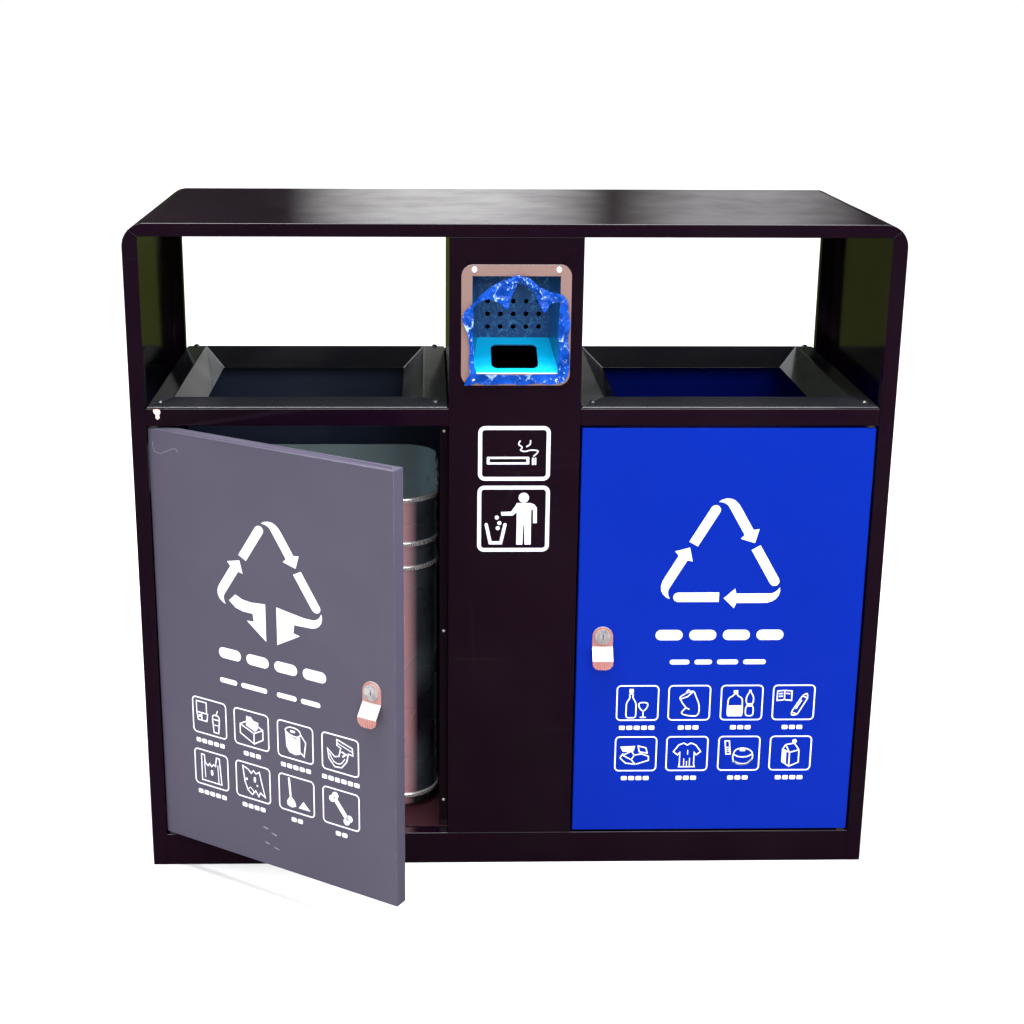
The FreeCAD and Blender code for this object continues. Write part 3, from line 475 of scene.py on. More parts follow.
@dataclass(frozen=True)
class Film:
    """Thin translucent protective film with sharp folds and painted highlights along their crests."""

    name: str
    colour: Colour
    # Pale colour painted on the crests of the folds as a highlight.
    fold_and_highlight: Colour
    alpha: float = 0.86

    def build(self, effects: Effects) -> bpy.types.Material:
        """Return the material.

        Args:
            effects: the shared shader groups.
        """
        material, graph, shader = start_material(self.name)
        crinkle = use_group(graph, effects.crinkle, {"Scale": 120.0})
        cloud = graph.band(graph.noise(45.0, 4.0), 0.35, 0.68)
        deep = tuple(part * 0.40 for part in self.colour)
        body = graph.mix(cloud, deep, self.colour)
        # Painted highlight: the ridge attribute and the fine crinkle mask paint the crests pale.
        ridge = graph.add("Attribute", attribute_name="ridge").outputs["Fac"]
        fine = graph.math("MULTIPLY", crinkle.outputs["Fold"], graph.band(graph.noise(70.0, 2.0), 0.58, 0.72, 0.0, 0.3))
        painted_crest_highlight = graph.math("MAXIMUM", graph.band(ridge, 0.80, 0.98, 0.0, 0.8), fine)
        graph.feed(shader.inputs["Base Color"], graph.mix(painted_crest_highlight, body, self.fold_and_highlight))
        graph.feed(shader.inputs["Roughness"], graph.band(cloud, 0.0, 1.0, 0.12, 0.3))
        graph.feed(shader.inputs["Alpha"], graph.band(painted_crest_highlight, 0.0, 0.6, self.alpha, 1.0))
        shader.inputs["Specular IOR Level"].default_value = 0.3
        shader.inputs["Coat Weight"].default_value = 0.35
        shader.inputs["Coat Roughness"].default_value = 0.08
        bump(graph, shader, crinkle.outputs["Height"], 0.25, 0.0012)
        return material


@dataclass(frozen=True)
class Plain:
    """A small solid piece: ink, plastic, brass or plated steel, with mild variation."""

    name: str
    colour: Colour
    shade: Colour
    rough: float
    metal: float = 0.0
    grain_scale: float = 120.0
    depth: float = 0.05

    def build(self, effects: Effects) -> bpy.types.Material:
        """Return the material.

        Args:
            effects: the shared shader groups.
        """
        material, graph, shader = start_material(self.name)
        cloud = graph.band(graph.noise(self.grain_scale, 4.0), 0.35, 0.65)
        grime = use_group(graph, effects.grime, {"Scale": 22.0, "Cover": 0.4}).outputs["Mask"]
        body = graph.mix(cloud, self.colour, self.shade)
        graph.feed(shader.inputs["Base Color"], graph.mix(graph.math("MULTIPLY", grime, 0.5), body, self.shade))
        graph.feed(shader.inputs["Roughness"], graph.band(cloud, 0.0, 1.0, self.rough, self.rough + 0.1))
        shader.inputs["Metallic"].default_value = self.metal
        bump(graph, shader, cloud, self.depth, 0.0003)
        return material


@dataclass
class Finishes:
    """Every finish of the station, built once."""

    effects: Effects

    def __post_init__(self) -> None:
        """Build the materials."""
        make = self.effects
        self.black = Paint("black_paint", (0.0062, 0.0014, 0.0058), (0.0046, 0.0011, 0.0044), 0.13, 0.30,
                           specular=0.18, dust=0.004, worn=0.08).build(make)
        self.grey = Paint("grey_paint", (0.066, 0.059, 0.088), (0.060, 0.053, 0.080), 0.42, 0.0,
                          specular=0.22, dust=0.03, worn_colour=(0.42, 0.40, 0.44)).build(make)
        self.blue = Paint("blue_paint", (0.0, 0.015, 0.270), (0.0, 0.013, 0.245), 0.32, 0.0, specular=0.04,
                          dust=0.004, dust_colour=(0.02, 0.08, 0.4), worn_colour=(0.03, 0.15, 0.6)).build(make)
        # Rear panels: black paint lightened with a painted blue reflection, and a darker copy of the door blue as
        # painted shade.
        self.rear_black_painted_reflection = Paint("rear_black_paint_painted_reflection", (0.0200, 0.0300, 0.0600), (0.0160, 0.0240, 0.0480), 0.40, 0.0,
                                specular=0.2, dust=0.02).build(make)
        self.rear_blue_painted_shade = Paint("rear_blue_paint_painted_shade", (0.0, 0.0055, 0.155), (0.0, 0.0045, 0.130), 0.40, 0.0,
                                specular=0.05, dust=0.01, dust_colour=(0.0, 0.03, 0.2)).build(make)
        self.floor = Paint("floor_paint", (0.040, 0.010, 0.016), (0.026, 0.006, 0.011), 0.55, 0.0,
                           specular=0.15, dust=0.12, dust_colour=(0.14, 0.06, 0.07)).build(make)
        self.hopper = Paint("hopper_paint", (0.0115, 0.0120, 0.0150), (0.0085, 0.0090, 0.0115), 0.17, 0.55,
                            dust=0.04, dust_colour=(0.20, 0.20, 0.22), waviness=10.0).build(make)
        # Each Steel's first colour, on level faces, is a painted sky reflection, and its second, on standing faces, is
        # a painted ground reflection; the liner's colours are painted reflections and painted shade.
        self.stainless = Steel("stainless", (0.88, 0.87, 0.86), (0.62, 0.38, 0.36), 0.26, metal=0.55).build(make)
        self.lock_steel = Steel("lock_steel", (0.92, 0.90, 0.89), (0.66, 0.27, 0.25), 0.26, grain_depth=0.03, metal=0.50).build(make)
        self.liner = LinerSteel("liner_steel", (0.62, 0.80, 0.86), (0.66, 0.33, 0.37), (0.012, 0.010, 0.018),
                                (-0.095, -0.075)).build(make)
        self.rim = Steel("rolled_rim", (0.92, 0.93, 0.94), (0.80, 0.74, 0.74), 0.22, metal=0.75).build(make)
        self.galvanised = Steel("galvanised", (0.50, 0.52, 0.54), (0.45, 0.46, 0.48), 0.38).build(make)
        self.zinc = Plain("zinc_plate", (0.88, 0.87, 0.86), (0.68, 0.66, 0.66), 0.28, 0.45).build(make)
        self.chrome = Plain("lock_chrome", (0.62, 0.60, 0.60), (0.34, 0.32, 0.33), 0.22, 0.45).build(make)
        self.brass = Plain("turned_brass", (0.60, 0.44, 0.18), (0.45, 0.32, 0.12), 0.28, 1.0).build(make)
        self.nylon = Plain("nylon", (0.014, 0.013, 0.014), (0.022, 0.020, 0.021), 0.5).build(make)
        self.ink = Plain("print_white", (0.74, 0.76, 0.86), (0.68, 0.71, 0.84), 0.42, 0.0, 35.0).build(make)
        self.seam = Plain("seam_shadow", (0.004, 0.003, 0.004), (0.008, 0.006, 0.007), 0.6).build(make)
        self.primer = Plain("bare_primer", (0.55, 0.33, 0.29), (0.75, 0.66, 0.62), 0.6, 0.0, 260.0, 0.3).build(make)
        self.tape = Plain("tape_residue", (0.25, 0.235, 0.27), (0.17, 0.155, 0.19), 0.65, 0.0, 200.0, 0.2).build(make)
        # The filmed steel carries painted reflections, painted highlights, a painted shade and a painted emission; the
        # film's pale second colour is a painted highlight.
        self.filmed = FilmedSteel("filmed_stainless", (0.92, 0.90, 0.90), (0.36, 0.225, 0.205),
                                  (0.0, 0.050, 0.19), (0.0, 0.56, 1.0), -0.1999).build(make)
        self.film = Film("blue_film", (0.0, 0.085, 0.60), (0.40, 0.58, 1.0)).build(make)


# ------------------------------------------------------------------ mesh helpers
def new_piece(name: str, mesh: bpy.types.Mesh, material: bpy.types.Material, body: str) -> bpy.types.Object:
    """Add a piece to the scene and let it ride on a body.

    Args:
        name: the piece's name.
        mesh: its mesh in metres, in the row frame.
        material: its finish.
        body: the CAD body it moves with.

    Returns:
        The new object.
    """
    piece = bpy.data.objects.new(name, mesh)
    bpy.context.scene.collection.objects.link(piece)
    mesh.materials.clear()
    mesh.materials.append(material)
    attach(piece, body)
    return piece


def dress(node: str, material: bpy.types.Material, edge: float = 0.0) -> bpy.types.Object:
    """Give a CAD node its finish and, where it is folded sheet, soft bend lines.

    Args:
        node: the CAD node's name.
        material: its finish.
        edge: the bend radius in millimetres, or 0 for none.

    Returns:
        The node's object.
    """
    piece = frame["nodes"][node]
    piece.data.materials.clear()
    piece.data.materials.append(material)
    if edge:
        weld = piece.modifiers.new("weld", "WELD")
        weld.merge_threshold = 0.00001
        bend = piece.modifiers.new("bend", "BEVEL")
        bend.width = edge * MM
        bend.segments = 3
        bend.limit_method = "ANGLE"
        bend.angle_limit = math.radians(50)
        bend.use_clamp_overlap = True
        bend.harden_normals = True
    return piece


def closed_pose(side: Side) -> Matrix:
    """Return the turn that takes a closed door to where it rests."""
    joint = [item for item in frame["record"]["behaviour"]["joints"] if item["name"] == side.value + "_door_hinge"][0]
    spot = Vector(joint["pos_m"])
    turn = Matrix.Rotation(math.radians(-joint["range_deg"][0]), 4, Vector(joint["axis"]))
    return Matrix.Translation(spot) @ turn @ Matrix.Translation(-spot)


def arc(centre: Point, radius: float, start: float, end: float, steps: int = 8) -> Loop:
    """Return points along an arc given in degrees."""
    angles = [math.radians(start + (end - start) * index / steps) for index in range(steps + 1)]
    return [(centre[0] + radius * math.cos(angle), centre[1] + radius * math.sin(angle)) for angle in angles]


def rounded(x: float, z: float, wide: float, tall: float, radius: float) -> Loop:
    """Return a rounded rectangle about a centre."""
    reach_x = wide / 2 - radius
    reach_z = tall / 2 - radius
    loop: Loop = []
    for turn, (sign_x, sign_z) in enumerate(((1, 1), (-1, 1), (-1, -1), (1, -1))):
        loop += arc((x + sign_x * reach_x, z + sign_z * reach_z), radius, turn * 90, turn * 90 + 90, 5)
    return loop


def smooth_line(points: Sequence[Point], closed: bool = False, steps: int = 6) -> Loop:
    """Return a smooth line through points."""
    count = len(points)
    spans = count if closed else count - 1
    result: Loop = []
    for index in range(spans):
        picks = [(index + shift) % count if closed else min(max(index + shift, 0), count - 1)
                 for shift in (-1, 0, 1, 2)]
        before, first, second, after = [Vector(points[pick]) for pick in picks]
        for step in range(steps):
            t = step / steps
            spot = 0.5 * (2 * first + (second - before) * t
                          + (2 * before - 5 * first + 4 * second - after) * t * t
                          + (3 * first - before - 3 * second + after) * t ** 3)
            result.append((spot.x, spot.y))
    if not closed:
        result.append(tuple(points[-1]))
    return result


class Stencil:
    """Flat printed shapes, gathered in millimetres and made into one thin mesh."""

    def __init__(self) -> None:
        """Start with nothing drawn, at the plate's centre and at full size."""
        self.shapes: list[list[Loop]] = []
        self.origin: Point = (0.0, 0.0)
        self.size = 1.0

    def at(self, x: float, z: float, size: float = 1.0) -> "Stencil":
        """Move the pen's origin and return the stencil."""
        self.origin = (x, z)
        self.size = size
        return self

    def area(self, *loops: Loop) -> None:
        """Add a filled outline, whose later loops are holes."""
        moved = [[(self.origin[0] + x * self.size, self.origin[1] + z * self.size) for x, z in loop]
                 for loop in loops]
        self.shapes.append(moved)

    def line(self, points: Sequence[Point], width: float, closed: bool = False, flat: bool = False) -> None:
        """Add a stroke of even width.

        Args:
            points: its centre line.
            width: its width.
            closed: whether it joins up.
            flat: whether its ends are cut square rather than round.
        """
        spots = [Vector(point) for point in points]
        clean = [spots[0]]
        for spot in spots[1:]:
            if (spot - clean[-1]).length > 0.02:
                clean.append(spot)
        if closed and (clean[0] - clean[-1]).length < 0.02:
            clean.pop()
        count = len(clean)
        half = width / 2
        left: Loop = []
        right: Loop = []
        for index, spot in enumerate(clean):
            before = clean[index - 1] if closed or index else spot
            after = clean[(index + 1) % count] if closed or index < count - 1 else spot
            into = (spot - before).normalized() if before is not spot else (after - spot).normalized()
            out = (after - spot).normalized() if after is not spot else into
            across = Vector((-(into.y + out.y), into.x + out.x))
            if across.length < 0.2:
                across = Vector((-into.y, into.x))
            across.normalize()
            reach = half / max(0.45, across.dot(Vector((-into.y, into.x))))
            left.append(tuple(spot + across * reach))
            right.append(tuple(spot - across * reach))
        if closed:
            self.area(left, right[::-1])
            return
        cap_end: Loop = []
        cap_start: Loop = []
        if not flat:
            for cap, tip, inner in ((cap_end, clean[-1], clean[-2]), (cap_start, clean[0], clean[1])):
                heading = math.degrees(math.atan2(tip.y - inner.y, tip.x - inner.x))
                cap += arc(tuple(tip), half, heading + 90, heading - 90, 6)[1:-1]
        self.area(left + cap_end + right[::-1] + cap_start)

    def dot(self, x: float, z: float, radius: float) -> None:
        """Add a filled disc."""
        self.area(arc((x, z), radius, 0, 345, 23))

    def bar(self, x: float, z: float, wide: float, tall: float, radius: float) -> None:
        """Add a filled rounded bar about a centre."""
        self.area(rounded(x, z, wide, tall, radius))

    def panel(self, x: float, z: float, wide: float, tall: float, radius: float, width: float) -> None:
        """Add a rounded frame whose outside has the given size."""
        inner = rounded(x, z, wide - 2 * width, tall - 2 * width, max(radius - width, 0.6))
        self.area(rounded(x, z, wide, tall, radius), inner[::-1])

    def mesh(self, name: str, centre: Vector, turn: Matrix, lift: float = 0.12) -> bpy.types.Mesh:
        """Return the shapes as a thin closed mesh in front of a face.

        Args:
            name: the mesh's name.
            centre: the face's drawing centre, in metres, before the turn.
            turn: the move from there to the place at rest.
            lift: the print's thickness in millimetres.
        """
        build = bmesh.new()
        for loops in self.shapes:
            flat = [Vector((x, z, 0)) for loop in loops for x, z in loop]
            triangles = tessellate_polygon([[Vector((x, z, 0)) for x, z in loop] for loop in loops])
            layers = []
            for depth in (lift, 0.02):
                spots = [turn @ Vector((centre.x + point.x * MM, centre.y - depth * MM, centre.z + point.y * MM))
                         for point in flat]
                layers.append([build.verts.new(spot) for spot in spots])
            front, back = layers
            for one, two, three in triangles:
                if len({one, two, three}) == 3:
                    build.faces.new((front[one], front[two], front[three]))
                    build.faces.new((back[three], back[two], back[one]))
            start = 0
            for loop in loops:
                count = len(loop)
                for index in range(count):
                    here = start + index
                    there = start + (index + 1) % count
                    build.faces.new((front[here], front[there], back[there], back[here]))
                start += count
        bmesh.ops.recalc_face_normals(build, faces=build.faces)
        mesh = bpy.data.meshes.new(name)
        build.to_mesh(mesh)
        build.free()
        return mesh


# ------------------------------------------------------------------- door prints
def turned(points: Sequence[Point], about: Point, degrees: float) -> Loop:
    """Return points turned about a spot."""
    angle = math.radians(degrees)
    return [(about[0] + (x - about[0]) * math.cos(angle) - (z - about[1]) * math.sin(angle),
             about[1] + (x - about[0]) * math.sin(angle) + (z - about[1]) * math.cos(angle)) for x, z in points]


@dataclass
class ArrowSign:
    """A generic sorting sign: plain bars and bent arrows round a triangle."""

    side: float = 166.0
    base: float = 57.0
    half: float = 6.8

    def along(self, leg: int, run: float, out: float) -> Point:
        """Return a spot beside a leg.

        Args:
            leg: 1 for the right leg, -1 for the left.
            run: how far down from the apex.
            out: how far outward from the leg's middle line.
        """
        apex = self.base + self.side * math.sqrt(3) / 2
        return (leg * (run / 2 + out * math.sqrt(3) / 2), apex - run * math.sqrt(3) / 2 + out / 2)

    def arrow(self, shift: float = 2.4) -> Loop:
        """Return the arrow that bends over the apex and runs down the right leg."""
        outer = shift + self.half
        inner = shift - self.half
        over = [(-9.5, 191.0), (-5.0, 194.0), (1.0, 195.7), (7.5, 195.2), (13.0, 192.4), (17.6, 188.0)]
        down = [self.along(1, 27, outer), self.along(1, 62, outer), self.along(1, 65, outer + 7.5),
                self.along(1, 79.5, shift), self.along(1, 64.5, inner - 7.0), self.along(1, 62.5, inner),
                self.along(1, 22, inner)]
        back = [(3.6, 185.6), (0.4, 188.4), (-4.0, 190.2)]
        return over + down + back

    def bar(self, leg: int = -1, first: float = 18.0, last: float = 80.0, shift: float = 0.8) -> Loop:
        """Return the plain bar on a leg, round at its upper end."""
        outer = shift + self.half
        inner = shift - self.half
        return [self.along(leg, *spot) for spot in (
            (last, outer), (first + 6.0, outer), (first + 2.0, outer - 1.8), (first, outer - 5.5),
            (first, inner + 5.5), (first + 2.0, inner + 1.8), (first + 6.0, inner), (last, inner))]

    def squashed(self, loop: Loop) -> Loop:
        """Return an outline made a little wider and lower about the apex."""
        apex = self.base + self.side * math.sqrt(3) / 2
        return [(x * 1.04, apex - (apex - z) * 0.88) for x, z in loop]

    def loop(self, pen: Stencil) -> None:
        """Draw the closed loop of three arrows."""
        middle = (0.0, self.base + self.side * math.sqrt(3) / 6)
        for turn in (0, -120, 120):
            pen.area(turned(self.arrow(), middle, turn))
            pen.area(turned(self.bar(), middle, turn))

    def drop(self, pen: Stencil) -> None:
        """Draw the triangle whose foot turns into two arrows pointing down."""
        middle = (0.0, self.base + self.side * math.sqrt(3) / 6)
        pen.area(self.squashed(self.arrow()))
        pen.area(self.squashed(self.bar()))
        pen.area(self.squashed(turned(self.arrow(), middle, 120)))
        pen.area(self.squashed(turned(self.bar(), middle, -120)))
        pen.area([(-7.0, 83.5), (-7.0, 32.0), (-38.0, 55.0), (-26.5, 55.8), (-28.0, 66.5), (-44.0, 66.5),
                  (-56.0, 69.5), (-66.5, 77.5), (-56.0, 87.5), (-44.0, 82.8), (-30.0, 81.5)])
        pen.area([(11.0, 83.0), (36.0, 79.5), (55.0, 77.0), (70.8, 77.1), (75.0, 79.0), (78.9, 81.9), (82.5, 87.8),
                  (83.4, 82.0), (82.3, 75.7), (78.4, 70.5), (73.0, 67.0), (65.7, 65.4), (39.0, 64.5), (37.5, 53.0),
                  (48.0, 51.0), (11.0, 31.5)])


class Icons:
    """Small pictograms of the things each bin takes, drawn about the pen's origin."""

    def __init__(self, pen: Stencil, stroke: float = 1.7) -> None:
        """Keep the pen and its line width."""
        self.pen = pen
        self.stroke = stroke

    def trace(self, *points: Point, closed: bool = False, width: float | None = None) -> None:
        """Draw straight lines through points."""
        self.pen.line(points, width or self.stroke, closed)

    def curve(self, *points: Point, closed: bool = False, width: float | None = None) -> None:
        """Draw a smooth line through points."""
        self.pen.line(smooth_line(points, closed, 5), width or self.stroke, closed)

    def glass(self) -> None:
        """Draw a bottle and a stemmed glass."""
        self.curve((-11, 13), (-11, 8), (-15, 0), (-15.5, -8), (-15.5, -17), (-14, -21.5), (-8, -22), (-3.5, -21.5),
                   (-2, -17), (-2, -8), (-2.5, 0), (-6.5, 8), (-6.5, 13), closed=True)
        self.pen.bar(-8.8, 18, 6, 6, 1)
        self.curve((3, 0), (2.5, -6), (8, -12), (13.5, -6), (13, 0), closed=True)
        self.trace((8, -12), (8, -20.5))
        self.trace((4.5, -21.5), (11.5, -21.5))

    def can(self) -> None:
        """Draw a crushed can."""
        self.curve((-13, 7), (-10, 11), (-3, 15), (5, 17), (9, 9), (13, -1), (14, -12), (11, -19), (2, -19.5),
                   (-7, -17.5), (-10, -14), (-5, -7), (-9, -1), closed=True)
        self.trace((-12, 6), (-3, 9), (4, 16))
        self.trace((-5, -7), (0, -9.5))
        self.curve((-6, 13), (-2, 19), (1, 16))

    def plastics(self) -> None:
        """Draw a jug and a bottle."""
        self.curve((-10, 13), (-13, 10), (-18, 6), (-19, -2), (-19, -18), (-14, -19.5), (-4, -19.5), (1, -18),
                   (1, -2), (0, 6), (-5, 10), (-7, 13), closed=True)
        self.pen.bar(-8.6, 16, 6, 5, 1)
        self.pen.area([(-18.5, -4), (-18.5, -18.5), (0.5, -18.5), (0.5, -4)])
        self.curve((10, 15), (6.5, 8), (6.5, 1), (8, -3), (6, -9), (6.5, -18), (11, -19.8), (16, -18), (16.5, -9),
                   (14.5, -3), (16, 1), (16, 8), (12.5, 15), closed=True)
        self.pen.area([(8, -1), (8, -6), (14.8, -6), (14.8, -1)])
        self.pen.bar(11.3, 17, 3.6, 4, 0.8)

    def papers(self) -> None:
        """Draw an open book and a rolled sheet."""
        self.trace((-23, 17), (-23, 3), (-13, 4), (-3, 3), (-3, 17), (-13, 18), closed=True)
        self.trace((-13, 18), (-13, 4))
        self.trace((-20, 13), (-16, 13.4))
        self.trace((-20, 9), (-16, 9.4))
        self.trace((-10, 13.4), (-6, 13))
        self.trace((-2, -14), (12, 10), (19, 6), (6, -18), closed=True)
        self.curve((12, 10), (18, 13), (19, 6))
        self.curve((-2, -14), (-1, -19), (6, -18))
        self.trace((4, -9), (11, 3))

    def box(self) -> None:
        """Draw an open box."""
        self.trace((-18, -2), (-6, -9), (0, -16), (18, -10), (18, -4), (8, 0), (-2, -2), (-6, 4), closed=True)
        self.trace((-22, -6), (-14, -14), (0, -16))
        self.trace((-22, -6), (-18, 0))
        self.pen.area([(-22, 11), (-18, 3), (-3, 4), (-1, 12)])
        self.trace((3, 12), (14, 9), (16, 1), (5, 3), closed=True)
        self.trace((-6, -9), (-2, -2))

    def shirt(self) -> None:
        """Draw a shirt."""
        self.trace((-5, 16), (-12, 13), (-19, 3), (-13, -2), (-10, 2), (-10, -16), (-11, -20), (11, -20), (10, -16),
                   (10, 2), (13, -2), (19, 3), (12, 13), (5, 16), (0, 13), closed=True)
        for x, top in ((-4, -8), (0, -12), (4, -7)):
            self.trace((x, top), (x, -18), width=1.2)
        self.trace((1, 5), (1, -1), width=1.2)

    def appliances(self) -> None:
        """Draw a handset and a cooking pot."""
        self.trace((-20, 19), (-14, 19), (-12, -1), (-18, -1), closed=True)
        self.trace((-19, 9), (-13.5, 9))
        for z in (6, 3.2):
            self.pen.dot(-17, z, 0.9)
            self.pen.dot(-14.6, z, 0.9)
        self.curve((-7, 1), (-3, 6), (6, 8), (15, 5), (19, 0), (19, -8), (14, -15), (6, -17), (-3, -15), (-8, -8),
                   closed=True)
        self.curve((-8, -1), (0, -5), (11, -5), (19, -1))
        self.curve((-7, -12), (2, -16), (12, -15.5), (18, -10), width=2.6)
        self.pen.bar(5, 5, 8, 3.4, 1.4)

    def carton(self) -> None:
        """Draw a drinks carton."""
        self.trace((-11, 6), (-1, 1), (-1, -20), (-11, -13), closed=True)
        self.trace((-1, 1), (12, 5), (12, -14), (-1, -20))
        self.trace((-11, 6), (-7, 13), (5, 15), (12, 5))
        self.trace((-7, 13), (-1, 1))
        self.pen.dot(5, 18, 3.2)
        self.pen.area([(-9.8, 4.5), (-9.8, -12.5), (-5.5, -15.5), (-5.5, 2.4)])

    def takeaway(self) -> None:
        """Draw a lunch box and a drinking cup."""
        self.trace((-22, 20), (-5, 20), (-5, 4), (-22, 4), closed=True)
        self.trace((-22, 4), (-20, -7), (-5, -7), (-3, 4))
        self.trace((-13.5, 3), (-13.5, -6))
        self.pen.bar(-17, -1, 4, 4, 1)
        self.trace((5, -1), (17, -1), (15, -20), (7, -20), closed=True)
        self.curve((5, 0), (7, 5), (15, 5), (17, 0))
        self.trace((11, 5), (14, 12))
        self.trace((8, -9), (14, -9), width=1.2)

    def tissues(self) -> None:
        """Draw a box of tissues."""
        self.trace((-19, 4), (4, -5), (4, -20), (-19, -9), closed=True)
        self.trace((4, -5), (19, 3), (19, -11), (4, -20))
        self.trace((-19, 4), (-8, 10))
        self.trace((19, 3), (10, 7))
        self.pen.area([(-8, 18), (-9, 4), (6, -2), (11, 3), (12, 12), (4, 13), (-1, 18), (-5, 17)])

    def roll(self) -> None:
        """Draw a toilet roll."""
        self.pen.area([(-16, 13), (-15, -9), (-10, -17), (0, -19), (8, -16), (8, 8), (0, 4), (-9, 7)])
        self.curve((-16, 14), (-8, 19), (4, 18), (9, 12), (2, 7), (-10, 9), closed=True)
        self.pen.bar(-4, 13.5, 8, 3.2, 1.5)
        self.trace((9, 12), (17, 2), (14, -18), (9, -14))

    def nappy(self) -> None:
        """Draw a nappy."""
        self.trace((-5, 20), (19, 13), (20, 3), (13, 4), (10, -8), (2, -18), (-9, -19), (-18, -9), (-20, 4), (-9, -5),
                   (-2, -3), (1, 9), (-5, 12), closed=True)
        self.trace((-4, 15), (18, 8), width=1.2)
        self.curve((-17, -2), (-10, -12), (0, -13), (7, -5), width=1.2)
        self.trace((3, 4), (9, 2), (4, -2), width=2.2)

    def bag(self) -> None:
        """Draw a carrier bag."""
        self.trace((-17, 19), (-12, 19), (-11, 8), (-6, 4), (-3, 8), (0, 4), (4, 8), (7, 6), (9, 19), (14, 19),
                   (17, -19), (-17, -19), closed=True)
        self.trace((-12, 10), (-11, -14), width=1.2)
        self.trace((11, 8), (12, -18), width=1.2)
        self.pen.bar(0.5, -5, 4, 8, 1.8)

    def scrap(self) -> None:
        """Draw a crumpled sheet of paper."""
        self.trace((-17, 20), (-8, 17), (-3, 12), (1, 17), (5, 13), (11, 17), (14, 4), (20, -18), (12, -13), (9, -19),
                   (4, -12), (-2, -19), (-9, -14), (-14, -2), closed=True)
        self.pen.bar(3, 4, 3.6, 8, 1.7)
        self.pen.dot(-11, 2, 1.9)
        self.pen.dot(7, -4, 1.4)
        self.curve((-9, -14), (-5, -9), (1, -14), width=1.2)

    def broom(self) -> None:
        """Draw a broom beside a heap of dust."""
        self.pen.line(((-12, 21), (-10, -3)), 3.2)
        self.pen.area([(-10, -3), (-16, -12), (-15, -18), (-8, -20), (-1, -17), (-3, -10)])
        self.trace((-9, -9), (-6, -17), width=1.0)
        self.pen.area([(3, -18), (11, -7), (22, -18)])

    def bone(self) -> None:
        """Draw a bone."""
        self.pen.line(((-10, 12), (9, -12)), 6.5)
        for x, z in ((-14, 11), (-9, 16.5), (13, -11.5), (8.5, -16.5)):
            self.pen.dot(x, z, 5.0)


@dataclass
class DoorPrint:
    """The white print on a door: sign, heading bars, eight pictograms and their label bars."""

    side: Side
    icons: tuple[str, ...]
    labels: tuple[int, ...]
    subheads: tuple[tuple[float, float], ...]
    middle_z: float = 342.0
    columns: tuple[float, ...] = (-108.0, -36.5, 36.0, 108.0)
    rows: tuple[float, ...] = (-98.5, -175.0)
    frame_wide: float = 59.0
    frame_tall: float = 53.0
    frame_line: float = 1.9

    def draw(self, pen: Stencil) -> None:
        """Draw the whole print."""
        sign = ArrowSign()
        if self.side is Side.RIGHT:
            sign.loop(pen.at(0, 0))
        else:
            sign.drop(pen.at(0, 0))
        for index in range(4):
            pen.bar(-68.5 + index * 46.0, 1.5, 37.0, 15.0, 7.4)
        for first, last in self.subheads:
            pen.bar((first + last) / 2, -38.0, last - first, 7.0, 3.4)
        drawer = Icons(pen)
        for index, icon in enumerate(self.icons):
            x = self.columns[index % 4]
            z = self.rows[index // 4]
            pen.at(x, z)
            pen.panel(0, 0, self.frame_wide, self.frame_tall, 6.5, self.frame_line)
            getattr(drawer, icon)()
            count = self.labels[index]
            for mark in range(count):
                pen.bar((mark - (count - 1) / 2) * 10.2, -self.frame_tall / 2 - 10.5, 8.2, 6.2, 1.6)

    def build(self, finishes: Finishes) -> bpy.types.Object:
        """Return the print as one piece lying on the door."""
        pen = Stencil()
        self.draw(pen)
        face = Vector((self.side.sign * 0.283, -0.200, self.middle_z * MM))
        turn = closed_pose(self.side) if self.side is Side.LEFT else Matrix.Identity(4)
        mesh = pen.mesh(self.side.value + "_door_print", face, turn)
        return new_piece(self.side.value + "_door_print", mesh, finishes.ink, self.side.value + "_door")


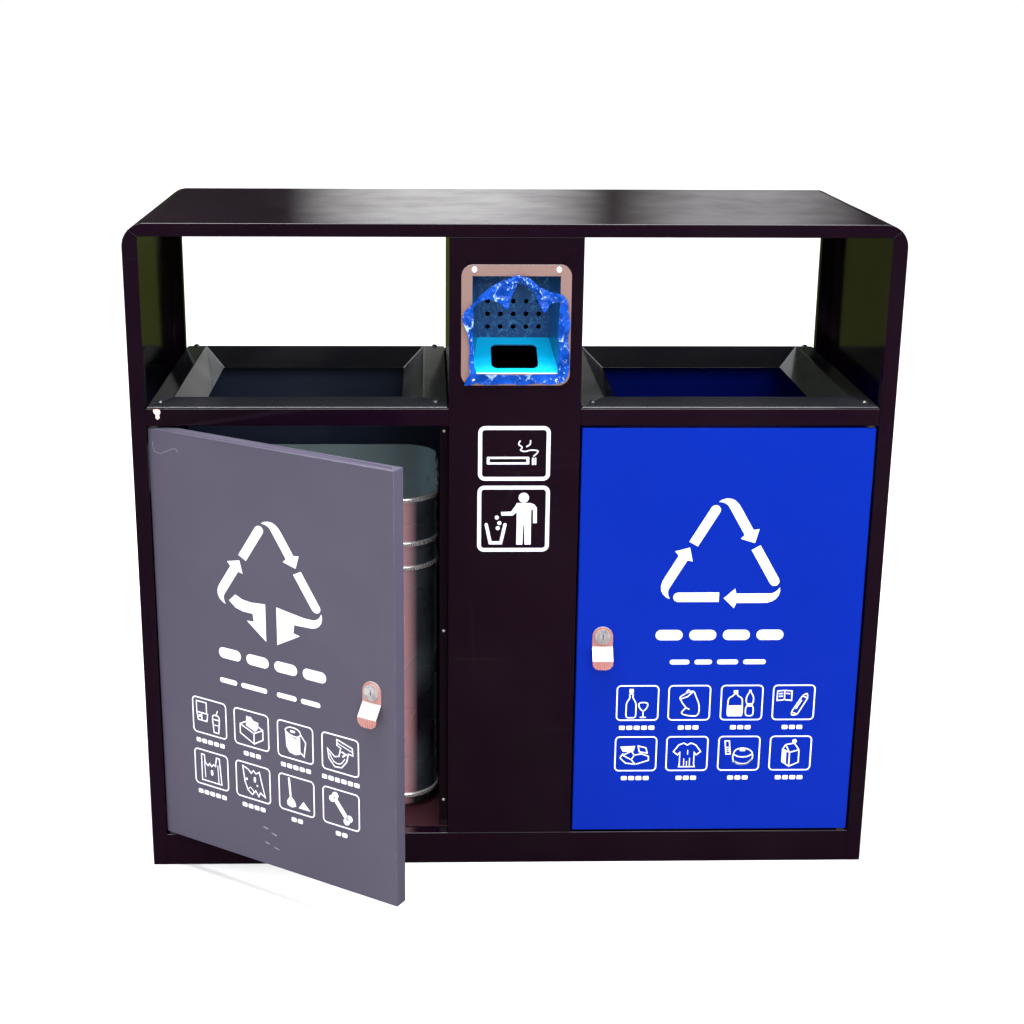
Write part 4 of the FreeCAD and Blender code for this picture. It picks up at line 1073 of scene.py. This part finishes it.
@dataclass
class ColumnSigns:
    """The two framed signs on the centre column."""

    x: float = 0.0
    smoke_z: float = 599.7
    litter_z: float = 509.7

    def smoke(self, pen: Stencil) -> None:
        """Draw the cigarette sign."""
        pen.at(self.x, self.smoke_z)
        pen.panel(0, 0, 95.0, 74.3, 9.0, 5.2)
        outer = rounded(-8.0, -9.7, 56.0, 10.4, 1.2)
        pen.area(outer, rounded(-8.1, -9.7, 48.6, 4.7, 0.8)[::-1])
        pen.bar(24.6, -10.6, 2.3, 9.8, 0.5)
        pen.bar(28.0, -10.6, 2.3, 9.8, 0.5)
        pen.line(smooth_line([(7.5, 17), (5.8, 12.5), (10.2, 8.6), (8.4, 4.6), (14, 2.8), (22, 4.6), (30.5, 3.8),
                              (30, 0.6), (25.8, -3.4)]), 1.7)
        pen.line(smooth_line([(21.2, 17.4), (20.6, 12.6), (16.2, 9.4)]), 1.7)

    def litter(self, pen: Stencil) -> None:
        """Draw the sign of someone dropping litter in a bin."""
        pen.at(self.x, self.litter_z)
        pen.panel(0, 0, 96.0, 91.8, 9.0, 5.2)
        pen.dot(13.5, 29.4, 6.9)
        pen.area([(4.5, 22), (22.5, 22), (27.5, 20), (31, 15.5), (31.3, -6), (26.3, -6), (26, 12.5), (23.6, 12.5),
                  (23.6, -36), (15.4, -36), (14.8, -9), (13.4, -9), (12.6, -36), (4.4, -36), (4.4, 9.5),
                  (-1, 4.6), (-15.8, 4.6), (-16.6, 9.6), (-3, 10.2), (1.5, 16.5)])
        pen.line(((-36, -8), (-30.5, -33.5), (-16.5, -33.5), (-11, -8)), 4.4)
        for x, z in ((-22.0, 1.9), (-18.5, -5.8), (-20.6, -12.9)):
            pen.dot(x, z, 2.8)

    def build(self, finishes: Finishes) -> bpy.types.Object:
        """Return both signs as one piece on the column."""
        pen = Stencil()
        self.smoke(pen)
        self.litter(pen)
        mesh = pen.mesh("column_signs", Vector((0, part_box("column_front")[0].y, 0)), Matrix.Identity(4))
        return new_piece("column_signs", mesh, finishes.ink, "cabinet")


# ------------------------------------------------------------- film and fixings
@dataclass
class AshtrayFilm:
    """Torn blue protective film, peeled off the ashtray's flange and hanging from it."""

    plate_y: float = -201.2
    thick: float = 0.25
    pitch: float = 2.2
    seed: int = 7

    def flaps(self) -> dict[str, tuple[Loop, float, float]]:
        """Return each flap's outline, how far it stands off and how deep its folds are."""
        return {
            "film_flap_left": (smooth_line([
                (-65.7, 789), (-54, 801), (-39.6, 815.6), (-18, 829), (4.8, 835.5), (-1, 820), (-8.2, 805),
                (-10.9, 791.7), (-22, 800), (-35.6, 805), (-48.7, 799.7), (-57, 792)], True, 3), 1.2, 5.0),
            "film_flap_right": (smooth_line([
                (4.8, 834), (16.6, 831.5), (28, 822), (40, 815.6), (58.4, 810), (66.2, 799.7), (55, 801),
                (45.3, 799.7), (40, 793), (36, 787.7), (28.3, 799.7), (23, 813), (13, 822), (6, 826)],
                True, 3), 1.0, 4.0),
            "film_band_left": (smooth_line([
                (-65.7, 789), (-69.4, 779), (-66, 769), (-62, 758), (-59.5, 738), (-60.5, 722), (-59.1, 708),
                (-64, 699), (-66, 692), (-55, 693.5), (-49, 697), (-50, 706), (-54.6, 722), (-54.4, 740),
                (-55.5, 762), (-54.8, 780), (-56, 792)], True, 3), 0.8, 3.2),
            "film_band_right": (smooth_line([
                (66.2, 799.7), (67, 788), (69.6, 773), (67.5, 752), (69.5, 731), (69.4, 711), (62.3, 696),
                (55, 700), (54.6, 718), (55.6, 742), (54.2, 765), (55.5, 786), (57, 800)], True, 3), 0.8, 3.4),
            "film_band_bottom": (smooth_line([
                (-52, 706), (-36, 706.5), (0, 705.6), (34, 706.4), (57, 706), (63, 697.5), (46, 693), (30, 694.5),
                (10, 692.2), (-12, 693.8), (-32, 692.3), (-50, 695)], True, 3), 0.5, 1.8),
        }

    def crease(self, x: float, z: float, turn: float) -> float:
        """Return the height of the sharp folds at a spot, from 0 to 1."""
        spot = Vector((x * 0.045 + turn, z * 0.045, turn * 0.7))
        warp = noise.noise_vector(spot * 0.9) * 0.7
        ridge = 1.0 - abs(noise.noise(spot * 1.3 + warp))
        fine = 1.0 - abs(noise.noise(spot * 3.1 + warp * 2.0))
        return min(max(ridge ** 3 * 0.75 + fine ** 5 * 0.35, 0.0), 1.0)

    def sheet(self, name: str, outline: Loop, stand: float, depth: float, turn: float) -> bpy.types.Mesh:
        """Return one crumpled flap as a thin closed mesh in metres.

        Args:
            name: the mesh's name.
            outline: its edge.
            stand: how far its edge stands off the flange.
            depth: how far its folds stand out.
            turn: which part of the noise it takes.
        """
        edge = [Vector(point) for point in outline]
        low_x, high_x = min(point.x for point in edge), max(point.x for point in edge)
        low_z, high_z = min(point.y for point in edge), max(point.y for point in edge)
        chance = random.Random(self.seed + int(turn * 10))
        inner = []
        for row in range(int((high_z - low_z) / self.pitch) + 1):
            for column in range(int((high_x - low_x) / self.pitch) + 1):
                x = low_x + (column + 0.5 * (row % 2)) * self.pitch + chance.uniform(-0.4, 0.4)
                z = low_z + row * self.pitch + chance.uniform(-0.4, 0.4)
                inner.append(Vector((x, z)))
        count = len(edge)
        spots = edge + inner
        rim = [(index, (index + 1) % count) for index in range(count)]
        found, _, faces, *_ = delaunay_2d_cdt(spots, rim, [list(range(count))], 1, 0.01)
        build = bmesh.new()
        points = []
        crests = []
        for point in found:
            fold_and_highlight = self.crease(point.x, point.y, turn)
            crests.append(fold_and_highlight)
            out = stand + depth * fold_and_highlight
            points.append(build.verts.new(Vector((point.x, self.plate_y - out, point.y)) * MM))
        for face in faces:
            build.faces.new([points[index] for index in face])
        bmesh.ops.recalc_face_normals(build, faces=build.faces)
        mesh = bpy.data.meshes.new(name)
        build.to_mesh(mesh)
        build.free()
        # The crease heights are also kept as the ridge attribute, which the film material turns into painted highlights
        # along the crests.
        ridge = mesh.attributes.new("ridge", "FLOAT", "POINT")
        ridge.data.foreach_set("value", crests)
        return mesh

    def build(self, finishes: Finishes) -> list[bpy.types.Object]:
        """Return every flap, each riding on the cabinet."""
        pieces = []
        for index, (name, (outline, stand, depth)) in enumerate(self.flaps().items()):
            mesh = self.sheet(name, outline, stand, depth, 1.3 + index * 2.1)
            piece = new_piece(name, mesh, finishes.film, "cabinet")
            solid = piece.modifiers.new("thickness", "SOLIDIFY")
            solid.thickness = self.thick * MM
            solid.offset = -1.0
            pieces.append(piece)
        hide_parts("ashtray_film")
        return pieces


@dataclass
class Fixings:
    """Small marks and fixings: seams, rivets, a paint chip and tape residue."""

    seam_wide: float = 0.7
    rivet_radius: float = 1.9

    def strip(self, name: str, first: Vector, second: Vector, across: Vector, wide: float) -> bpy.types.Mesh:
        """Return a thin flat strip between two points, as a closed mesh.

        Args:
            name: the mesh's name.
            first: one end in millimetres.
            second: the other end.
            across: the direction of its width.
            wide: its width.
        """
        along = (second - first).normalized()
        side = across.normalized() * wide / 2
        up = along.cross(across).normalized() * 0.15
        build = bmesh.new()
        rings = []
        steps = 24
        for index in range(steps + 1):
            middle = first.lerp(second, index / steps)
            rings.append([build.verts.new((middle + side * one + up * two) * MM)
                          for one, two in ((-1, -1), (1, -1), (1, 1), (-1, 1))])
        for before, after in zip(rings, rings[1:]):
            for index in range(4):
                build.faces.new((before[index], before[(index + 1) % 4], after[(index + 1) % 4], after[index]))
        build.faces.new(rings[0][::-1])
        build.faces.new(rings[-1])
        bmesh.ops.recalc_face_normals(build, faces=build.faces)
        mesh = bpy.data.meshes.new(name)
        build.to_mesh(mesh)
        build.free()
        return mesh

    def seams(self, finishes: Finishes) -> None:
        """Add the welded mitre lines at the front top corners and the column's joint lines."""
        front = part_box("column_front")[0].y / MM
        shell_low, shell_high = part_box("outer_shell")
        for side in Side:
            outer = Vector((side.sign * (shell_high.x / MM - 8.0), front, shell_high.z / MM - 8.0))
            inner = Vector((side.sign * 480.2, front, 883.2))
            mesh = self.strip(side.value + "_mitre", inner, outer, Vector((1, 0, -side.sign)), self.seam_wide)
            new_piece(side.value + "_corner_seam", mesh, finishes.seam, "cabinet")
        low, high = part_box("column_front")
        for name, z in (("column_top_seam", high.z / MM - 0.2), ("column_foot_seam", low.z / MM + 0.2)):
            mesh = self.strip(name, Vector((low.x / MM + 1, front, z)), Vector((high.x / MM - 1, front, z)),
                              Vector((0, 0, 1)), self.seam_wide)
            new_piece(name, mesh, finishes.seam, "cabinet")

    def rivet(self, name: str, spot: Vector, facing: Vector, finishes: Finishes, radius: float) -> None:
        """Add one low rivet that a closed door clears.

        Args:
            name: its name.
            spot: the middle of its foot in millimetres.
            facing: the way its head points.
            finishes: the finishes.
            radius: its radius.
        """
        build = bmesh.new()
        turn = facing.to_track_quat("Z", "Y").to_matrix()
        rings = []
        profile = [(radius, 0.0), (radius, 0.12), (radius * 0.90, 0.27), (radius * 0.55, 0.34),
                   (radius * 0.26, 0.35), (radius * 0.22, 0.20)]
        for reach, rise in profile:
            ring = []
            for step in range(24):
                angle = math.tau * step / 24
                local = Vector((reach * math.cos(angle), reach * math.sin(angle), rise))
                ring.append(build.verts.new((spot + turn @ local) * MM))
            rings.append(ring)
        for before, after in zip(rings, rings[1:]):
            for step in range(24):
                build.faces.new((before[step], before[(step + 1) % 24], after[(step + 1) % 24], after[step]))
        build.faces.new(rings[-1])
        build.faces.new(rings[0][::-1])
        bmesh.ops.recalc_face_normals(build, faces=build.faces)
        mesh = bpy.data.meshes.new(name)
        build.to_mesh(mesh)
        build.free()
        for polygon in mesh.polygons:
            polygon.use_smooth = True
        new_piece(name, mesh, finishes.zinc, "cabinet")

    def stop_rivets(self, finishes: Finishes) -> None:
        """Rivet each door stop to the column."""
        for side in Side:
            low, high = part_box("door_stop_" + side.value)
            middle = (low + high) / 2 / MM
            for index, z in enumerate((high.z / MM - 12.0, middle.z, low.z / MM + 40.0)):
                spot = Vector((middle.x, low.y / MM, z))
                self.rivet(f"{side.value}_stop_rivet_{index + 1}", spot, Vector((0, -1, 0)), finishes,
                           self.rivet_radius)

    def patch(self, name: str, outline: Loop, centre: Vector, turn: Matrix, material: bpy.types.Material,
              body: str, lift: float = 0.1) -> None:
        """Add one flat patch to a front face."""
        pen = Stencil()
        pen.area(outline)
        new_piece(name, pen.mesh(name, centre, turn, lift), material, body)

    def wear(self, finishes: Finishes) -> None:
        """Add the paint chip on the left sill, and the tape marks and a scratch on the left door."""
        still = Matrix.Identity(4)
        sill = Vector((0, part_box("front_sill_left")[0].y, 0))
        self.patch("sill_chip", [(-470, 659.4), (-465.5, 659.8), (-461.5, 658.6), (-460.6, 655), (-462.4, 651.6),
                                 (-461.8, 648), (-465, 645.4), (-467.4, 647.6), (-467, 652), (-469.6, 655)],
                   sill, still, finishes.primer, "cabinet")
        turn = closed_pose(Side.LEFT)
        face = Vector((-0.283, -0.200, 0.342))
        for index, (x, z) in enumerate(((-22.0, -236.0), (-8.0, -242.0), (-20.0, -258.0), (-4.0, -262.0))):
            self.patch(f"tape_mark_{index + 1}", [(x, z), (x + 9, z - 1.6), (x + 8.4, z - 3.0), (x + 1, z - 1.6)],
                       face, turn, finishes.tape, "left_door", 0.06)
        pen = Stencil()
        pen.line(smooth_line([(-186, 274), (-184, 263), (-173, 260), (-159.5, 266), (-148, 270), (-144, 266)]), 0.55)
        new_piece("door_scratch", pen.mesh("door_scratch", face, turn, 0.05), finishes.tape, "left_door")


# ------------------------------------------------------------------ sub-assemblies
@dataclass
class Cabinet:
    """The welded black cabinet: shell, sills, column, plinth, floor and backs."""

    bend: float = 1.1
    black: tuple[str, ...] = (
        "outer_shell", "front_sill_left", "front_sill_right", "rear_sill_left", "rear_sill_right", "plinth_front",
        "plinth_rear", "column_front", "column_rear", "column_flank_left", "column_flank_right", "door_stop_left",
        "door_stop_right")
    hidden: tuple[str, ...] = ("cross_rail", "ash_shelf")

    def dress(self, finishes: Finishes) -> None:
        """Give every cabinet node its finish."""
        for name in self.black:
            dress(name, finishes.black, self.bend)
        for name in self.hidden:
            dress(name, finishes.galvanised, 0.6)
        dress("floor_pan", finishes.floor, self.bend)
        # The rear panels' paints carry a painted reflection on the left and a painted shade on the right.
        dress("rear_panel_left", finishes.rear_black_painted_reflection)
        dress("rear_panel_right", finishes.rear_blue_painted_shade)
        for side in Side:
            dress("hopper_" + side.value, finishes.hopper, 0.9)
            dress(side.value + "_pivot_pins", finishes.zinc)
            dress(side.value + "_pivot_washers", finishes.nylon)
        dress("hopper_screws", finishes.hopper)
        dress("rear_panel_rivets", finishes.black)


@dataclass
class Ashtray:
    """The stainless ashtray with its film, screws and can."""

    bend: float = 0.8

    def dress(self, finishes: Finishes) -> None:
        """Give the ashtray's nodes their finishes and add the film."""
        dress("ashtray_pan", finishes.filmed)
        dress("ashtray_screws", finishes.zinc)
        dress("ashtray_film", finishes.film)
        dress("ash_can", finishes.galvanised, self.bend)
        AshtrayFilm().build(finishes)


@dataclass
class Door:
    """One door with its bushes, print and quarter-turn lock."""

    side: Side
    bend: float = 1.2

    def dress(self, finishes: Finishes) -> None:
        """Give the door's nodes their finishes."""
        name = self.side.value
        paint = finishes.grey if self.side is Side.LEFT else finishes.blue
        dress(name + "_door_pan", paint, self.bend)
        dress(name + "_door_bushes", finishes.brass)
        dress(name + "_lock_plate", finishes.lock_steel, 0.8)
        for part in ("_lock_housing", "_lock_rotor"):
            dress(name + part, finishes.chrome)
        for part in ("_housing_nut", "_lock_cam", "_cam_nut"):
            dress(name + part, finishes.zinc, 0.3)

    def build_print(self, finishes: Finishes) -> bpy.types.Object:
        """Return the door's print."""
        if self.side is Side.RIGHT:
            design = DoorPrint(self.side, ("glass", "can", "plastics", "papers", "box", "shirt", "appliances",
                                           "carton"), (5, 3, 3, 3, 4, 3, 3, 4),
                               ((-66, -39), (-32, -8), (-1, 28), (35, 66)))
        else:
            design = DoorPrint(self.side, ("takeaway", "tissues", "roll", "nappy", "bag", "scrap", "broom", "bone"),
                               (5, 3, 5, 6, 5, 4, 2, 2), ((-87, -58), (-51, -8), (8, 40), (47, 78)))
        return design.build(finishes)


@dataclass
class Liner:
    """One rolled steel liner with its beads, rim and foot."""

    side: Side

    def dress(self, finishes: Finishes) -> None:
        """Give the liner's nodes their finishes."""
        for part, finish in (("tub", finishes.liner), ("foot", finishes.liner), ("beads", finishes.rim),
                             ("rim", finishes.rim)):
            dress(f"{self.side.value}_liner_{part}", finish)


# ------------------------------------------------------------------------- studio
@dataclass
class Studio:
    """Camera, pale floor, soft lamps and a pale world."""

    spot: tuple[float, float, float] = (-0.1167, -2.3348, 1.1774)
    yaw: float = 0.026
    pitch: float = 0.291
    roll: float = 0.006
    lens: float = 59.18
    shift: tuple[float, float] = (0.0435, -0.013)
    floor_size: float = 120.0
    glows: tuple[tuple[float, float, float, float], ...] = (
        (0.015, 0.12, 0.095, 1.15), (0.185, 0.125, 0.075, 0.60), (0.24, -0.075, 0.055, 1.7), (-0.55, 0.25, 0.16, 0.9))

    def camera(self) -> None:
        """Set up the camera."""
        forward = Vector((math.sin(self.yaw) * math.cos(self.pitch), math.cos(self.yaw) * math.cos(self.pitch),
                          -math.sin(self.pitch)))
        right = Vector((math.cos(self.yaw), -math.sin(self.yaw), 0))
        up = right.cross(forward)
        tilted_right = right * math.cos(self.roll) + up * math.sin(self.roll)
        tilted_up = up * math.cos(self.roll) - right * math.sin(self.roll)
        data = bpy.data.cameras.new("camera")
        data.lens = self.lens
        data.sensor_width = 36.0
        data.shift_x, data.shift_y = self.shift
        data.clip_end = 200.0
        camera = bpy.data.objects.new("camera", data)
        camera.matrix_world = Matrix((
            (tilted_right.x, tilted_up.x, -forward.x, self.spot[0]),
            (tilted_right.y, tilted_up.y, -forward.y, self.spot[1]),
            (tilted_right.z, tilted_up.z, -forward.z, self.spot[2]), (0, 0, 0, 1)))
        bpy.context.scene.collection.objects.link(camera)
        bpy.context.scene.camera = camera

    def floor(self) -> None:
        """Lay a plain pale floor."""
        build = bmesh.new()
        bmesh.ops.create_grid(build, x_segments=1, y_segments=1, size=self.floor_size / 2)
        mesh = bpy.data.meshes.new("studio_floor")
        build.to_mesh(mesh)
        build.free()
        floor = bpy.data.objects.new("studio_floor", mesh)
        bpy.context.scene.collection.objects.link(floor)
        material, graph, shader = start_material("studio_floor")
        graph.feed(shader.inputs["Base Color"], graph.mix(graph.noise(1.5, 2.0), (0.86, 0.86, 0.86), (0.90, 0.90, 0.90)))
        shader.inputs["Roughness"].default_value = 0.9
        shader.inputs["Specular IOR Level"].default_value = 0.1
        mesh.materials.append(material)
        floor.visible_glossy = False

    def lamp(self, name: str, spot: Sequence[float], aim: Sequence[float], size: tuple[float, float], watts: float,
             colour: Colour = (1.0, 1.0, 1.0)) -> None:
        """Add one soft lamp that the camera doesn't see.

        Args:
            name: its name.
            spot: where it stands.
            aim: what it points at.
            size: its width and height.
            watts: its power.
            colour: its colour.
        """
        data = bpy.data.lights.new(name, "AREA")
        data.shape = "RECTANGLE"
        data.size, data.size_y = size
        data.energy = watts
        data.color = colour
        lamp = bpy.data.objects.new(name, data)
        lamp.location = spot
        lamp.rotation_euler = (Vector(aim) - Vector(spot)).to_track_quat("-Z", "Y").to_euler()
        lamp.visible_camera = False
        bpy.context.scene.collection.objects.link(lamp)

    def world(self) -> None:
        """Make a pale world, with a darker green surround for reflections."""
        world = bpy.data.worlds.new("studio_world")
        world.use_nodes = True
        tree = world.node_tree
        tree.nodes.clear()
        graph = Graph(tree)
        ray = graph.add("LightPath")
        way = graph.add("TexCoord").outputs["Generated"]
        height = graph.add("SeparateXYZ", {0: way}).outputs[2]
        cloud = graph.add("TexNoise", {"Vector": way, "Scale": 3.0, "Detail": 2.0}).outputs[0]
        trees = graph.mix(graph.band(cloud, 0.40, 0.66), (0.016, 0.022, 0.014), (0.050, 0.060, 0.038))
        above = graph.mix(graph.band(height, 0.45, 0.85), trees, (3.4, 3.5, 3.6))
        grass = graph.mix(graph.band(height, -0.65, -0.35), (0.060, 0.020, 0.026), (0.062, 0.078, 0.018))
        ground = graph.mix(graph.band(height, -0.06, 0.0), grass, above)
        for turn, lift, wide, shade in self.glows:
            aim = Vector((math.sin(turn) * math.cos(lift), math.cos(turn) * math.cos(lift), math.sin(lift)))
            facing = graph.add("VectorMath", {0: way, 1: tuple(aim)}, operation="DOT_PRODUCT").outputs["Value"]
            ground = graph.mix(graph.band(facing, math.cos(wide), math.cos(wide * 0.3)), ground, (shade,) * 3)
        seen = graph.mix(ray.outputs["Is Camera Ray"], ground, (1.0, 1.0, 1.0))
        soft = graph.mix(ray.outputs["Is Diffuse Ray"], seen, (1.02, 1.03, 1.06))
        back = graph.add("Background", {"Color": soft, "Strength": 1.0})
        output = graph.add("OutputWorld")
        tree.links.new(back.outputs[0], output.inputs["Surface"])
        bpy.context.scene.world = world

    def build(self) -> None:
        """Set up everything round the station."""
        self.camera()
        self.floor()
        self.world()
        self.lamp("key_lamp", (0.9, -3.6, 2.3), (0, 0, 0.5), (2.0, 1.2), 52.0, (1.0, 0.98, 0.96))
        self.lamp("fill_lamp", (-3.0, -2.6, 1.9), (0, 0, 0.5), (1.8, 1.8), 12.0, (0.95, 0.97, 1.0))
        self.lamp("top_lamp", (-0.1, -0.4, 3.4), (-0.1, -0.38, 0.6), (2.4, 1.3), 240.0)
        scene = bpy.context.scene
        scene.view_settings.view_transform = "Standard"
        scene.view_settings.look = "None"


def main() -> None:
    """Build the scene, sub-assembly by sub-assembly."""
    logging.basicConfig(level=logging.INFO, format="%(name)s: %(message)s")
    Studio().build()
    finishes = Finishes(Effects())
    Cabinet().dress(finishes)
    LOG.info("cabinet dressed")
    Ashtray().dress(finishes)
    LOG.info("ashtray dressed and filmed")
    for side in Side:
        door = Door(side)
        door.dress(finishes)
        door.build_print(finishes)
        LOG.info("%s door dressed and printed", side.value)
        Liner(side).dress(finishes)
        LOG.info("%s liner dressed", side.value)
    ColumnSigns().build(finishes)
    LOG.info("column signs printed")
    fixings = Fixings()
    fixings.seams(finishes)
    fixings.stop_rivets(finishes)
    fixings.wear(finishes)
    LOG.info("seams, rivets and marks added")


if __name__ == "__main__":
    main()
